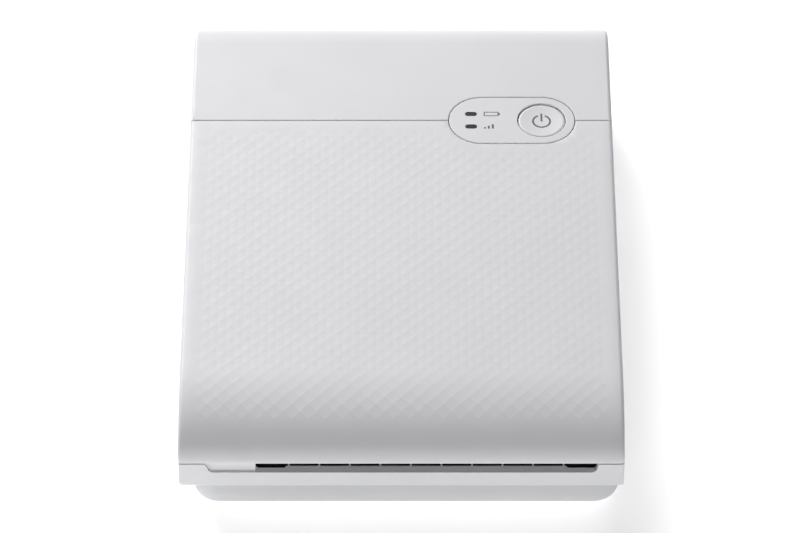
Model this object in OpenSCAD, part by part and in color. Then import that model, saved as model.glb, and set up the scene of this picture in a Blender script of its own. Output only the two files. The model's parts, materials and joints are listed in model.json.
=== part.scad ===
// Compact photo printer: a hinged cover over a paper tray, with a thermal print engine, its
// ribbon cassette and a gear train behind it. Millimetres. +X is the right-hand side, -Y the
// front and +Z up. The origin lies under the middle of the case, on the table.

/* [Case] */
// Width of the case
body_w = 102.2; // [102:0.1:120]
// Depth of the case
body_d = 143.3; // [143:0.1:170]
// Height of the top above the table
body_h = 31; // [31:0.1:36]
// Wall of the covers and of the middle frame
wall = 1.8; // [1.5:0.1:2]
// Radius of the upright corners of the covers and the middle frame
corner_r = 2; // [1:0.1:4]
// Radius along the top side edges
top_edge_r = 1; // [0.5:0.1:1.6]
// Length of the curved nose
nose_run = 20.2; // [18:0.1:26]
// Length of the rounding at the rear
rear_run = 11; // [7:0.1:14]
// Height of the covers' lower edge
cover_edge_z = 21.7; // [21.5:0.1:22]
// Height of the middle frame's lower edge
frame_edge_z = 14.2; // [13.8:0.1:14.6]
// Radius along the middle frame's lower edge
frame_edge_r = 1; // [0.4:0.1:1.6]
// Thickness of the middle frame's bottom flange
flange_t = 1.2; // [1:0.1:1.6]
// Width of the bottom flange, from the outer face
flange_w = 6; // [5.4:0.1:6.4]
// Depth of the rear cover, from its rear face to the seam
rear_cover_d = 38.75; // [38.5:0.05:41]
// Gap at the seam between the two covers
seam_gap = 0.3; // [0.2:0.05:0.4]
// Gap under the paper cover's edge
cover_gap = 0.2; // [0.1:0.05:0.3]

/* [Lower case] */
// Step in from the left side
base_left_in = 3.1; // [2.5:0.1:3.6]
// Step in from the right side
base_right_in = 0.8; // [0.6:0.1:1.2]
// Step in from the front and the rear
base_end_in = 0.8; // [0.6:0.1:1.4]
// Length of the curved underside at the front
base_front_run = 9.5; // [6:0.1:12]
// Radius of the upright front corners
base_corner_r = 5.5; // [4:0.1:7]
// Radius of the upright rear corners
base_rear_r = 2.4; // [2:0.1:2.6]
// Radius along the bottom edges
base_edge_r = 3; // [2.2:0.1:4]
// Wall of the lower case
base_wall = 1.6; // [1.3:0.1:1.8]
// Height of the underside above the table
base_stand = 0.6; // [0.4:0.1:0.8]
// Diameter of a rubber foot
foot_d = 8; // [5:0.1:10]
// Depth of a foot's pocket
foot_pocket = 0.6; // [0.4:0.1:0.8]
// Distance of the feet from the sides of the case
foot_side = 15; // [12:0.1:20]
// Distance of the feet from the front and the rear
foot_end = 20; // [16:0.1:28]

/* [Screws] */
// Diameter of a screw's head
screw_head_d = 3.2; // [2.6:0.1:3.4]
// Diameter of a screw's shank
screw_d = 1.6; // [1.2:0.1:1.8]
// Height of a screw's head
screw_head_h = 1.4; // [1:0.1:1.8]
// Length of a screw's shank
screw_l = 11.4; // [10:0.1:12.6]
// Radius of a screw post
post_r = 2.6; // [2.3:0.1:2.8]

/* [Paper slot] */
// Width of the paper
paper_w = 72; // [66:0.1:72.5]
// Room beside the paper in the slot
paper_play = 3.1; // [2.6:0.1:3.4]
// Distance from the slot's right end to the side of the case
slot_right = 6.3; // [6.2:0.1:7]
// Depth of the recess in the lip
recess_drop = 2.5; // [2.2:0.1:2.8]
// Part of the recess that is blind, left of the slot
recess_blind = 11.6; // [6:0.1:12.5]
// Number of guide ribs in the slot
rib_count = 10; // [4:1:10]
// Distance between guide ribs
rib_pitch = 7; // [5:0.1:7.6]
// Width of a guide rib
rib_w = 0.7; // [0.5:0.1:1.2]
// Length of a guide rib
rib_l = 1.3; // [0.8:0.1:1.8]
// Width of the deeper pocket at each end of the slot
pocket_w = 7.5; // [5:0.1:9]
// Depth of these pockets into the lip
pocket_d = 0.6; // [0.3:0.1:1]

/* [Paper tray] */
// Thickness of the deck under the paper's way out
deck_t = 1.2; // [1:0.1:1.4]
// Step from the lip down to the deck
deck_drop = 0.6; // [0.4:0.1:0.8]
// Thickness of the tray's floor
tray_t = 0.8; // [0.6:0.1:1]
// Height of the tray's floor above the deck
tray_rise = 2.8; // [2.6:0.1:3]
// Thickness of the tray's walls
tray_wall = 1.2; // [0.9:0.1:1.4]
// Height of the tray's side walls
tray_wall_h = 2; // [1.6:0.1:2.1]
// Height of the tray's front wall
tray_front_h = 1.6; // [1:0.1:1.8]
// Space beside the paper in the tray
tray_play = 0.5; // [0.3:0.1:0.6]
// Distance of the tray's front end from the front of the case
tray_front = 3.25; // [3:0.05:4]
// Length of the lift plate
lift_l = 56; // [40:1:60]
// Width of the lift plate
lift_w = 44; // [30:1:56]
// Gap round the lift plate
lift_gap = 0.4; // [0.2:0.05:0.6]
// Radius of the lift plate's pivot
lift_pivot_r = 0.4; // [0.3:0.05:0.45]

/* [Rollers] */
// Radius of the feed roller
feed_r = 3.4; // [3.2:0.1:3.6]
// Radius of the pinch roller
pinch_r = 2.1; // [1.8:0.1:2.3]
// Radius of the pick-up tyre
pickup_r = 1.9; // [1.6:0.1:2.4]
// Width of the pick-up tyre
pickup_w = 26; // [14:1:40]
// Radius of the platen roller
platen_r = 4.2; // [3.8:0.1:4.3]
// Radius of the roller shafts
shaft_r = 1.2; // [1:0.05:1.3]
// Running clearance of shafts, on the radius
shaft_fit = 0.05; // [0.03:0.01:0.08]
// Gap for the paper between two rollers
nip_gap = 0.25; // [0.2:0.05:0.3]
// Height of the nip above the deck
nip_rise = 1.05; // [0.95:0.05:1.15]
// Distance of the feed roller from the rear face
feed_back = 47.15; // [46.8:0.05:47.6]
// Thickness of the side plates
plate_t = 1.2; // [0.8:0.1:1.4]

/* [Gears] */
// Module of the gears
gear_module = 0.5; // [0.48:0.01:0.5]
// Teeth on the motor pinion
motor_teeth = 12; // [12:1:14]
// Teeth on the idler's large gear
idler_teeth = 30; // [26:1:30]
// Teeth on the idler's small gear
idler_pinion_teeth = 12; // [12:1:13]
// Teeth on the feed roller's gear
feed_teeth = 36; // [35:1:36]
// Teeth on the feed roller's pinion
feed_pinion_teeth = 20; // [18:1:20]
// Teeth on the take-up gear
take_up_teeth = 24; // [23:1:25]
// Teeth on the pick-up gear
pickup_teeth = 12; // [11:1:12]
// Face width of the gears
gear_t = 2.2; // [1.6:0.1:2.4]
// Distance between two layers of gears
gear_step = 2.8; // [2.6:0.1:3]
// Play between meshing teeth
backlash = 0.12; // [0.08:0.01:0.16]

/* [Print head] */
// Distance of the print head from the rear face
head_back = 27.65; // [27.3:0.05:28]
// Width of the ceramic strip
head_strip = 5; // [3:0.1:5.4]
// Thickness of the ceramic strip
head_strip_t = 1.2; // [0.8:0.1:1.6]
// Depth of the heat sink under the strip
sink_d = 7; // [6.6:0.1:7.4]
// Distance of the strip from the heat sink's front
strip_in = 1.1; // [0.6:0.1:1.4]
// Radius of the head's shaft
head_shaft_r = 1; // [0.8:0.05:1.1]
// Distance of the head's shaft behind the print line
head_shaft_back = 4.6; // [4:0.1:4.8]
// Height of the head's shaft above the floor
head_shaft_rise = 6.3; // [5.6:0.1:7]

/* [Ribbon cassette] */
// Distance of the supply spool from the rear face
supply_back = 11.45; // [11:0.05:11.8]
// Inner radius of the supply trough
supply_trough_r = 6; // [5.6:0.1:6]
// Inner radius of the take-up trough
take_up_trough_r = 5.4; // [4.6:0.1:5.5]
// Wall of the cassette's troughs
trough_t = 0.8; // [0.6:0.1:1]
// Radius of the unused ribbon on its spool
supply_roll_r = 5.2; // [4:0.1:5.3]
// Radius of the used ribbon on its spool
take_up_roll_r = 3.4; // [2.6:0.1:4.2]
// Radius of the spool cores
core_r = 2; // [1.6:0.1:2.4]
// Thickness of the cassette's end plates
end_plate_t = 1.2; // [0.8:0.1:1.3]
// Gap under the cassette
cassette_gap = 0.4; // [0.3:0.1:0.6]
// Radius of the ribbon's guide bars
bar_r = 1; // [0.7:0.1:1.1]
// Distance of the guide bars from the print line
bar_off = 7.2; // [7:0.1:8]
// Thickness of the ribbon
film_t = 0.2; // [0.15:0.05:0.25]
// Length of the cassette's grip
grip_l = 3.4; // [2:0.1:3.8]

/* [Cover hinge] */
// Distance of the hinge axis behind the seam
hinge_back = 4; // [4:0.1:4.2]
// Distance of the hinge axis below the top
hinge_drop = 3.8; // [3.7:0.1:3.9]
// Forward slant of the seam for each millimetre down
seam_slant = 1.1; // [1.05:0.01:1.15]
// Radius of the hinge pins
hinge_pin_r = 0.75; // [0.5:0.05:0.8]
// Radius of the hinge knuckles
knuckle_r = 1.7; // [1.4:0.1:1.8]
// Thickness of the hinge arms
arm_t = 1.4; // [1:0.1:1.6]
// Gap between a hinge arm and the side wall
arm_side = 0.7; // [0.5:0.1:0.9]
// Depth of the hinge arms' hook below the axis
arm_drop = 7; // [6.8:0.1:7.2]

/* [Control panel] */
// Width of the control panel
panel_w = 30.3; // [28:0.1:34]
// Depth of the control panel
panel_d = 15.9; // [15.5:0.1:16.2]
// Distance of the panel's middle from the right side
panel_right = 24.3; // [22:0.1:27]
// Gap round the control panel
panel_gap = 0.25; // [0.2:0.05:0.3]
// Thickness of the cover's thin rim beside the panel
panel_rim = 0.7; // [0.4:0.05:0.75]
// Diameter of the hole for the power button
button_d = 11.7; // [9:0.1:12.5]
// Gap round the power button
button_gap = 0.25; // [0.15:0.05:0.35]
// Travel of the power button
button_travel = 0.5; // [0.3:0.05:0.6]
// Step of the button's face below the top
button_sink = 0.15; // [0.05:0.05:0.3]
// Diameter of the power symbol's ring
symbol_d = 4.6; // [3.6:0.1:5.5]
// Width of the power symbol's lines
symbol_w = 0.45; // [0.3:0.05:0.6]
// Length of a status window
lens_w = 2.85; // [2:0.05:3.4]
// Width of a status window
lens_d = 1.4; // [1:0.05:1.8]
// Distance between the status windows
lens_pitch = 4.4; // [3.4:0.1:5]
// Distance of the status windows from the panel's left end
lens_left = 5.25; // [4:0.05:6]
// Thickness of the circuit boards
board_t = 1; // [0.8:0.1:1.2]

/* [Side door] */
// Distance of the door's front end from the rear face
door_front_back = 49.15; // [48:0.05:50]
// Distance of the door's rear end from the rear face
door_rear_back = 3.85; // [3.6:0.05:4.4]
// Height of the door's lower edge
door_low_z = 3.3; // [3.2:0.1:3.6]
// Height of the door's upper edge
door_top_z = 19.4; // [18.8:0.1:19.6]
// Gap round the door
door_gap = 0.2; // [0.15:0.05:0.3]
// Thickness of the door
door_t = 1.8; // [1.4:0.1:2]
// Distance of the door's axis from its outer face
door_axis_in = 1.7; // [1.5:0.05:1.8]
// Radius of the door's pins
door_pin_r = 0.6; // [0.4:0.05:0.7]
// Length of a door pin inside the door
door_pin_in = 2.4; // [1.6:0.1:3]

/* [Release slider] */
// Distance of the slider from the front of the case
slider_front = 42; // [38:0.1:46]
// Length of the slider's knob
slider_l = 8; // [6:0.1:10]
// Height of the slider's knob
slider_h = 2.4; // [2.2:0.1:2.6]
// Travel of the slider
slider_travel = 2.5; // [1.5:0.1:3]
// Depth of the slider's pocket in the wall
slider_pocket = 0.8; // [0.6:0.1:0.9]

/* [Electronics] */
// Length of the battery pack
battery_l = 45; // [30:0.5:46]
// Width of the battery pack
battery_w = 60; // [40:0.5:72]
// Height of the battery pack
battery_h = 9.4; // [7:0.1:9.8]
// Width of the main board
main_board_w = 85; // [70:0.5:86]
// Length of the main board
main_board_l = 50; // [46:0.5:51]
// Height of the main board above the floor
main_board_rise = 11.6; // [11:0.1:12]
// Radius of the motor
motor_r = 5.6; // [4.8:0.1:5.7]
// Length of the motor
motor_l = 22; // [16:0.5:30]
// Width of the USB socket's opening
usb_w = 9; // [8.4:0.1:9.2]
// Height of the USB socket's opening
usb_h = 3.2; // [2.8:0.1:3.3]
// Length of the USB socket
usb_l = 7.2; // [6.5:0.1:8]
// Distance of the USB socket's middle from the left side
usb_left = 10.1; // [9.6:0.1:10.4]

/* [Hidden] */
$fn = 64;
eps = 0.01;
over = 1;
arc_steps = 24;
degree = 57.29578;

side_x = body_w / 2;
front_y = -body_d / 2;
rear_y = body_d / 2;
nose_h = body_h - cover_edge_z;
frame_top = cover_edge_z - cover_gap;
seam_y = rear_y - rear_cover_d;
in_x = side_x - wall;
floor_z = base_stand + base_wall;
base_x0 = -side_x + base_left_in;
base_x1 = side_x - base_right_in;
base_y0 = front_y + base_end_in;
base_y1 = rear_y - base_end_in;

slot_x1 = side_x - slot_right;
slot_x0 = slot_x1 - paper_w - 2 * paper_play;
paper_x = (slot_x0 + slot_x1) / 2;
lip_top = cover_edge_z - recess_drop;
deck_top = lip_top - deck_drop;
tray_low = deck_top + tray_rise;
tray_top = tray_low + tray_t;
shelf_x = in_x - 2.8;
plate_gap = 0.2;
left_plate_x = slot_x0 - plate_gap - plate_t;
right_plate_x = slot_x1;
engine_d = 75.65;
engine_front_y = rear_y - engine_d;

nip_z = deck_top + nip_rise;
feed = [rear_y - feed_back, nip_z - nip_gap / 2 - feed_r];
pinch = [feed[0], nip_z + nip_gap / 2 + pinch_r];
head_y = rear_y - head_back;
head_top = nip_z - 0.45;
platen = [head_y, nip_z + nip_gap + platen_r];
sink_top = head_top - head_strip_t;
head_shaft = [head_y + head_shaft_back, floor_z + head_shaft_rise];
roller_w = paper_w + 1.4;

supply_trough_out = supply_trough_r + trough_t;
take_up_trough_out = take_up_trough_r + trough_t;
supply = [rear_y - supply_back, floor_z + cassette_gap + supply_trough_out];
take_up_z = floor_z + cassette_gap + take_up_trough_out;
take_up_dist = gear_module * (feed_pinion_teeth + take_up_teeth) / 2;
take_up_angle = asin((take_up_z - feed[1]) / take_up_dist);
pickup_angle = 128;
idler_angle = 204;
motor_angle = 198;
take_up = polar(feed, take_up_dist, take_up_angle);
pickup = polar(feed, gear_module * (feed_teeth + pickup_teeth) / 2, pickup_angle);
idler = polar(feed, gear_module * (feed_teeth + idler_pinion_teeth) / 2, idler_angle);
motor = polar(idler, gear_module * (idler_teeth + motor_teeth) / 2, motor_angle);
cassette_x0 = paper_x - paper_w / 2 - 1.5;
cassette_x1 = paper_x + paper_w / 2 + 1.5;
bar_z = sink_top - 1.4 - bar_r;
front_bar = [head_y - bar_off, bar_z];
rear_bar = [head_y + bar_off + 0.9, bar_z];
film_w = paper_w - 2;

gear_gap = 0.3;
layer_a = left_plate_x - gear_gap - gear_t;
layer_b = layer_a - gear_step;
layer_c = layer_b - gear_step;
addendum = 0.75;
dedendum = 1.1;
pressure = 20;

hinge = [seam_y + hinge_back, body_h - hinge_drop];
arm_x = in_x - arm_side - arm_t;
bracket_t = 0.8;
hinge_play = 0.2;

panel_x = side_x - panel_right;
button_x = panel_x + (panel_w - panel_d) / 2;
button_face = body_h - button_sink;
collar_r = button_d / 2 + 0.75;
collar_t = 0.8;
board_z = body_h - wall - 4;
board_x0 = panel_x - panel_w / 2 + 1;
board_x1 = panel_x + panel_w / 2 - 1;
board_y0 = seam_y - 5.6;
board_y1 = seam_y + 6;
switch_h = 1.2;
lens_x = panel_x - panel_w / 2 + lens_left;

door_y0 = rear_y - door_front_back;
door_y1 = rear_y - door_rear_back;
door_axis = [side_x - door_axis_in, door_low_z + door_axis_in];
door_boss = 4;
door_pin_y0 = door_y0 - door_gap - door_boss + 0.8;
door_pin_y1 = base_y1 - base_wall - 0.2;

slider_y = front_y + slider_front;
slider_z = lip_top - 0.1;
hook_x = -in_x + 0.4;
hook_y = slider_y + 5.4;
hook_t = 1.4;
hook_top = tray_top + 3;
hook_nose = 2.8;

usb_x = -side_x + usb_left;
power_board_z = frame_edge_z + flange_t + 0.2;
usb_z = power_board_z + board_t;
battery_x = -1;
battery_front = 14.15;
battery_y = front_y + battery_front + battery_l / 2;
main_board_y0 = front_y + battery_front + 1.5;
main_board_z = floor_z + main_board_rise;
standoff_x = 40;
lift_y1 = feed[0] - feed_r - 4.6;
lift_y0 = lift_y1 - lift_l;
lift_t = 0.6;
lift_ear_t = 1.5;
lift_pivot = [lift_y0 + 1, tray_low - 0.5];
foot_places = [for (x = [-1, 1], y = [-1, 1]) [x * (side_x - foot_side), y * (rear_y - foot_end)]];
screw_places = [
    [-side_x + 7.9, front_y + 11.65],
    [side_x - 7.1, front_y + 11.65],
    [-side_x + 7.9, rear_y - 25.65],
    [side_x - 4.8, front_y + 59.65]
];

// A point at a distance and an angle from another, in the side view
function polar(p, dist, angle) = [p[0] + dist * cos(angle), p[1] + dist * sin(angle)];

// A quarter of an ellipse, from one angle to another
function quarter(c, run, rise, a0, a1) = [
    for (i = [0:arc_steps])
        let (a = a0 + (a1 - a0) * i / arc_steps) [c[0] + run * cos(a), c[1] + rise * sin(a)]
];

// Side view of the covers, drawn in by an offset, down to a level
function cover_profile(off, low) = concat(
    [[front_y + off, low]],
    quarter([front_y + nose_run, cover_edge_z], nose_run - off, nose_h - off, 180, 90),
    quarter([rear_y - rear_run, cover_edge_z], rear_run - off, nose_h - off, 90, 0),
    [[rear_y - off, low]]
);

// Side view of the lower case, drawn in by an offset
function base_profile(off, top) = concat(
    [[base_y0 + off, top]],
    quarter([base_y0 + base_front_run, frame_edge_z], base_front_run - off,
        frame_edge_z - base_stand - off, 180, 270),
    quarter([base_y1 - base_edge_r, base_stand + base_edge_r], base_edge_r - off,
        base_edge_r - off, 270, 360),
    [[base_y1 - off, top]]
);

// Front view of the lower case, drawn in by an offset
function base_section(off, top) = concat(
    [[base_x0 + off, top]],
    quarter([base_x0 + base_edge_r, base_stand + base_edge_r], base_edge_r - off,
        base_edge_r - off, 180, 270),
    quarter([base_x1 - base_edge_r, base_stand + base_edge_r], base_edge_r - off,
        base_edge_r - off, 270, 360),
    [[base_x1 - off, top]]
);

// Involute of an angle, in degrees
function involute(a) = tan(a) * degree - a;

// Angle of a gear's first tooth that meshes with a gear of a given phase
function mesh_phase(teeth_a, phase_a, teeth_b, angle) =
    angle + 180 - (180 - (angle - phase_a) * teeth_a) / teeth_b;

// Outline of an involute gear, its first tooth at an angle
function gear_outline(teeth, phase) =
    let (
        pitch_r = gear_module * teeth / 2,
        base_r = pitch_r * cos(pressure),
        root_r = pitch_r - dedendum * gear_module,
        tip_r = pitch_r + addendum * gear_module,
        low_r = max(base_r, root_r),
        half = 90 / teeth - backlash / (gear_module * teeth) * degree + involute(pressure),
        radii = [for (i = [0:4]) low_r + (tip_r - low_r) * i / 4],
        flank = concat([[root_r, half]], [for (r = radii) [r, half - involute(acos(base_r / r))]])
    )
    [
        for (i = [0:teeth - 1], side = [-1, 1], j = [0:len(flank) - 1])
            let (
                k = side < 0 ? j : len(flank) - 1 - j,
                a = phase + 360 * i / teeth + side * flank[k][1]
            )
            [flank[k][0] * cos(a), flank[k][0] * sin(a)]
    ];

// Points round a centre, for the ribbon on a guide bar
function bend(c, r, a0, a1) = [for (i = [0:6]) polar(c, r, a0 + (a1 - a0) * i / 6)];

// Extrudes a side view along X
module along_x(x0, x1) {
    translate([x0, 0, 0])
        rotate([90, 0, 90])
            linear_extrude(x1 - x0)
                children();
}

// Extrudes a front view along Y
module along_y(y0, y1) {
    translate([0, y1, 0])
        rotate([90, 0, 0])
            linear_extrude(y1 - y0)
                children();
}

// A round bar along X at a point of the side view
module bar(x0, x1, p, r) {
    along_x(x0, x1)
        translate(p)
            circle(r);
}

// A block between two corners
module block(a, b) {
    translate(a)
        cube(b - a);
}

// A rectangle with round corners between two corners
module round_rect(a, b, r) {
    translate([a[0] + r, a[1]])
        square([b[0] - a[0] - 2 * r, b[1] - a[1]]);
    translate([a[0], a[1] + r])
        square([b[0] - a[0], b[1] - a[1] - 2 * r]);
    for (x = [a[0] + r, b[0] - r], y = [a[1] + r, b[1] - r])
        translate([x, y])
            circle(r);
}

// A bar with round ends, centred
module stadium(w, d) {
    round_rect([-w / 2, -d / 2], [w / 2, d / 2], d / 2 - eps);
}

// A gear along X with its first tooth at an angle of the side view
module gear(teeth, phase, p, x0, x1) {
    along_x(x0, x1)
        translate(p)
            polygon(gear_outline(teeth, phase));
}

// Full outer shape of the two covers
module cover_solid() {
    intersection() {
        along_x(-side_x, side_x)
            polygon(cover_profile(0, frame_top));
        along_y(front_y - over, rear_y + over)
            round_rect([-side_x, frame_top - 4], [side_x, body_h], top_edge_r);
        translate([0, 0, frame_top - over])
            linear_extrude(body_h)
                round_rect([-side_x, front_y], [side_x, rear_y], corner_r);
    }
}

// Room inside the two covers
module cover_room() {
    along_x(-in_x, in_x)
        polygon(cover_profile(wall, frame_top - over));
}

// Side view of what lies behind the slanted seam, moved by an offset
module behind_seam(off) {
    slant = seam_slant * hinge_drop;
    polygon([
        [seam_y + off + seam_slant * over, body_h + over],
        [seam_y + off - slant, body_h - hinge_drop],
        [seam_y + off - slant, frame_top - over],
        [rear_y + over, frame_top - over],
        [rear_y + over, body_h + over]
    ]);
}

// Control panel's outline, grown by a gap
module panel_outline(gap) {
    translate([panel_x, seam_y])
        stadium(panel_w + 2 * gap, panel_d + 2 * gap);
}

// Lower case: the tub that carries the engine, the battery and the boards
module lower_case() {
    color("gainsboro")
        difference() {
            union() {
                difference() {
                    base_solid(0, frame_edge_z);
                    base_solid(base_wall, frame_edge_z + over);
                }
                intersection() {
                    base_solid(0, frame_edge_z);
                    door_bosses();
                }
                for (p = screw_places)
                    translate([p[0], p[1], floor_z - eps])
                        cylinder(r = post_r, h = frame_edge_z - floor_z + eps);
                for (x = [-standoff_x, standoff_x], y = [4, main_board_l - 4])
                    translate([x, main_board_y0 + y, floor_z - eps])
                        cylinder(r = 1.5, h = main_board_rise + eps);
                translate([usb_x, rear_y - 17.65, floor_z - eps])
                    cylinder(r = 1.5, h = power_board_z - floor_z + eps);
            }
            door_cut(base_x1 - base_wall - over);
            along_y(door_pin_y0, door_pin_y1)
                translate(door_axis)
                    circle(door_pin_r);
            for (p = foot_places)
                translate([p[0], p[1], 0])
                    cylinder(d = foot_d, h = base_stand + foot_pocket);
            for (p = screw_places)
                translate([p[0], p[1], 0]) {
                    cylinder(d = screw_head_d + 0.4, h = floor_z + screw_head_h);
                    cylinder(d = screw_d + 0.2, h = body_h);
                }
        }
}

// Solid tub, drawn in by an offset and cut level at the top
module base_solid(off, top) {
    intersection() {
        along_x(base_x0 + off, base_x1 - off)
            polygon(base_profile(off, top));
        along_y(base_y0 + off, base_y1 - off)
            polygon(base_section(off, top));
        linear_extrude(top)
            base_plan(off, base_corner_r - off, base_rear_r - off);
    }
}

// Plan of the tub with its front and rear corner radii
module base_plan(off, front_r, rear_r) {
    a = [base_x0 + off, base_y0 + off];
    b = [base_x1 - off, base_y1 - off];
    polygon(concat(
        quarter([a[0] + front_r, a[1] + front_r], front_r, front_r, 180, 270),
        quarter([b[0] - front_r, a[1] + front_r], front_r, front_r, 270, 360),
        quarter([b[0] - rear_r, b[1] - rear_r], rear_r, rear_r, 0, 90),
        quarter([a[0] + rear_r, b[1] - rear_r], rear_r, rear_r, 90, 180)
    ));
}

// Opening for the side door, through the case from a given depth
module door_cut(x) {
    block([x, door_y0 - door_gap, door_low_z - door_gap],
        [side_x + over, door_y1 + door_gap, door_top_z + door_gap]);
}

// Bosses that hold the side door's pins
module door_bosses() {
    for (y = [door_y0 - door_gap - door_boss, door_y1 + door_gap])
        block([base_x1 - base_wall - 1.4, y, floor_z - eps],
            [base_x1, min(y + door_boss, base_y1), door_axis[1] + 2.3]);
}

// Middle frame: the band with the lip, the paper slot and the flange on the lower case
module middle_frame() {
    boss_top = deck_top - deck_t - 0.2;
    color("gainsboro")
        difference() {
            union() {
                difference() {
                    frame_block();
                    block([-in_x, front_y + wall, frame_edge_z + flange_t],
                        [in_x, rear_y - wall, frame_top + over]);
                    block([-side_x + flange_w, front_y + flange_w, frame_edge_z - over],
                        [side_x - flange_w, rear_y - flange_w, frame_top]);
                    block([0, engine_front_y - plate_gap, frame_edge_z - over],
                        [right_plate_x + plate_t + plate_gap, rear_y - flange_w, frame_top]);
                    slot_cut();
                }
                slot_ribs();
                for (s = [-1, 1])
                    block(
                        [s * (in_x - 1) - 1 - eps, front_y + 5.65, frame_edge_z + flange_t - eps],
                        [s * (in_x - 1) + 1 + eps, engine_front_y - 2, deck_top - deck_t]
                    );
                for (p = screw_places)
                    translate([p[0], p[1], frame_edge_z])
                        cylinder(r = post_r, h = boss_top - frame_edge_z);
            }
            door_cut(side_x - flange_w - over);
            for (p = screw_places)
                translate([p[0], p[1], 0])
                    cylinder(d = screw_d, h = boss_top - 0.8);
            usb_cut();
            slider_cut();
        }
}

// Outer block of the middle frame, with its lower edge rounded
module frame_block() {
    intersection() {
        along_x(-side_x, side_x)
            frame_view(front_y, rear_y);
        along_y(front_y, rear_y)
            frame_view(-side_x, side_x);
        translate([0, 0, frame_edge_z - over])
            linear_extrude(body_h)
                round_rect([-side_x, front_y], [side_x, rear_y], corner_r);
    }
}

// Upright outline of the middle frame between two sides
module frame_view(a, b) {
    difference() {
        round_rect([a, frame_edge_z], [b, body_h], frame_edge_r);
        translate([a - over, frame_top])
            square([b - a + 2 * over, body_h]);
    }
}

// Recess in the lip with the deeper pockets at the slot's ends
module slot_cut() {
    block([slot_x0 - recess_blind, front_y - over, lip_top],
        [slot_x1, front_y + wall + eps, frame_top + over]);
    for (x = [slot_x0, slot_x1 - pocket_w])
        block([x, front_y + wall - pocket_d, deck_top], [x + pocket_w, front_y + wall + eps, frame_top]);
}

// Guide ribs in the slot and the blind face beside it
module slot_ribs() {
    rib_low = deck_top + 0.05;
    for (i = [0:rib_count - 1])
        let (x = paper_x + (i - (rib_count - 1) / 2) * rib_pitch)
            block([x - rib_w / 2, front_y + wall - eps, rib_low],
                [x + rib_w / 2, front_y + wall + rib_l, lip_top + 0.3]);
    block([slot_x0 - recess_blind, front_y + wall - eps, rib_low],
        [slot_x0, front_y + wall + 1.2, frame_top]);
}

// Opening for the USB socket in the rear wall
module usb_cut() {
    block([usb_x - usb_w / 2 - 0.3, rear_y - wall - over, usb_z - 0.2],
        [usb_x + usb_w / 2 + 0.3, rear_y + over, usb_z + usb_h + 0.3]);
}

// Pocket and through slot for the release slider in the left wall
module slider_cut() {
    block([-side_x - over, slider_y - slider_travel - 0.3, slider_z - slider_h / 2 - 0.2],
        [-side_x + slider_pocket, slider_y + slider_l + 0.3, slider_z + slider_h / 2 + 0.2]);
    block([-side_x, slider_y + 1 - slider_travel, slider_z - 0.6],
        [-in_x + over, slider_y + 5.4, slider_z + 0.6]);
}

// Rear cover, with the seats of the hinge pins
module rear_cover() {
    color("whitesmoke")
        difference() {
            union() {
                intersection() {
                    difference() {
                        cover_solid();
                        cover_room();
                    }
                    along_x(-side_x - over, side_x + over)
                        behind_seam(seam_gap / 2);
                }
                for (s = [-1, 1])
                    hinge_seat(s);
            }
            translate([0, 0, body_h - wall - over])
                linear_extrude(wall + 2 * over)
                    panel_outline(panel_gap);
            bar(-in_x - wall / 2, in_x + wall / 2, hinge, hinge_pin_r);
        }
}

// Side boss and hanging bracket of one hinge pin
module hinge_seat(s) {
    boss_x = arm_x + arm_t + hinge_play;
    bracket_x = arm_x - hinge_play - bracket_t;
    mirror([s < 0 ? 1 : 0, 0, 0]) {
        bar(boss_x, in_x + eps, hinge, knuckle_r);
        bar(bracket_x, bracket_x + bracket_t, hinge, knuckle_r);
        block([bracket_x, hinge[0] - knuckle_r, hinge[1]],
            [bracket_x + bracket_t, hinge[0] + knuckle_r, body_h - wall + eps]);
    }
}

// Paper cover: the flat top and the curved nose, with a cut-out for the control panel
module paper_cover() {
    color("white") {
        difference() {
            intersection() {
                difference() {
                    cover_solid();
                    cover_room();
                }
                translate([0, 0, cover_edge_z])
                    linear_extrude(body_h)
                        square([body_w + over, body_d + over], center = true);
            }
            along_x(-side_x - over, side_x + over)
                behind_seam(-seam_gap / 2);
            translate([0, 0, body_h - wall - over])
                linear_extrude(wall + 2 * over)
                    panel_outline(panel_gap);
            translate([0, 0, body_h - wall - over])
                linear_extrude(wall + over - panel_rim)
                    panel_outline(panel_gap + 1);
        }
        block([hook_x, hook_y + hook_nose - 0.8, hook_top - 2],
            [hook_x + hook_t, hook_y + hook_nose + 3, body_h - wall + eps]);
    }
}

// Hook-shaped arms that carry the paper cover past the rear cover's edge
module hinge_arms() {
    reach = 9.5;
    color("silver")
        for (x = [-arm_x - arm_t, arm_x])
            along_x(x, x + arm_t)
                difference() {
                    translate(hinge)
                        union() {
                            circle(knuckle_r);
                            polygon([
                                [-knuckle_r + 0.2, 0], [knuckle_r - 0.2, 0], [1, -arm_drop],
                                [-reach, -arm_drop], [-reach, hinge_drop - wall],
                                [-reach + 2.8, hinge_drop - wall], [-reach + 2.8, -arm_drop + 1.4],
                                [-1.5, -arm_drop + 1.4]
                            ]);
                        }
                    translate(hinge)
                        circle(hinge_pin_r + shaft_fit);
                }
}

// Pins of the paper cover's hinge
module hinge_pins() {
    x0 = arm_x - hinge_play - bracket_t;
    color("silver") {
        bar(x0, in_x + wall / 2, hinge, hinge_pin_r);
        bar(-in_x - wall / 2, -x0, hinge, hinge_pin_r);
    }
}

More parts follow.
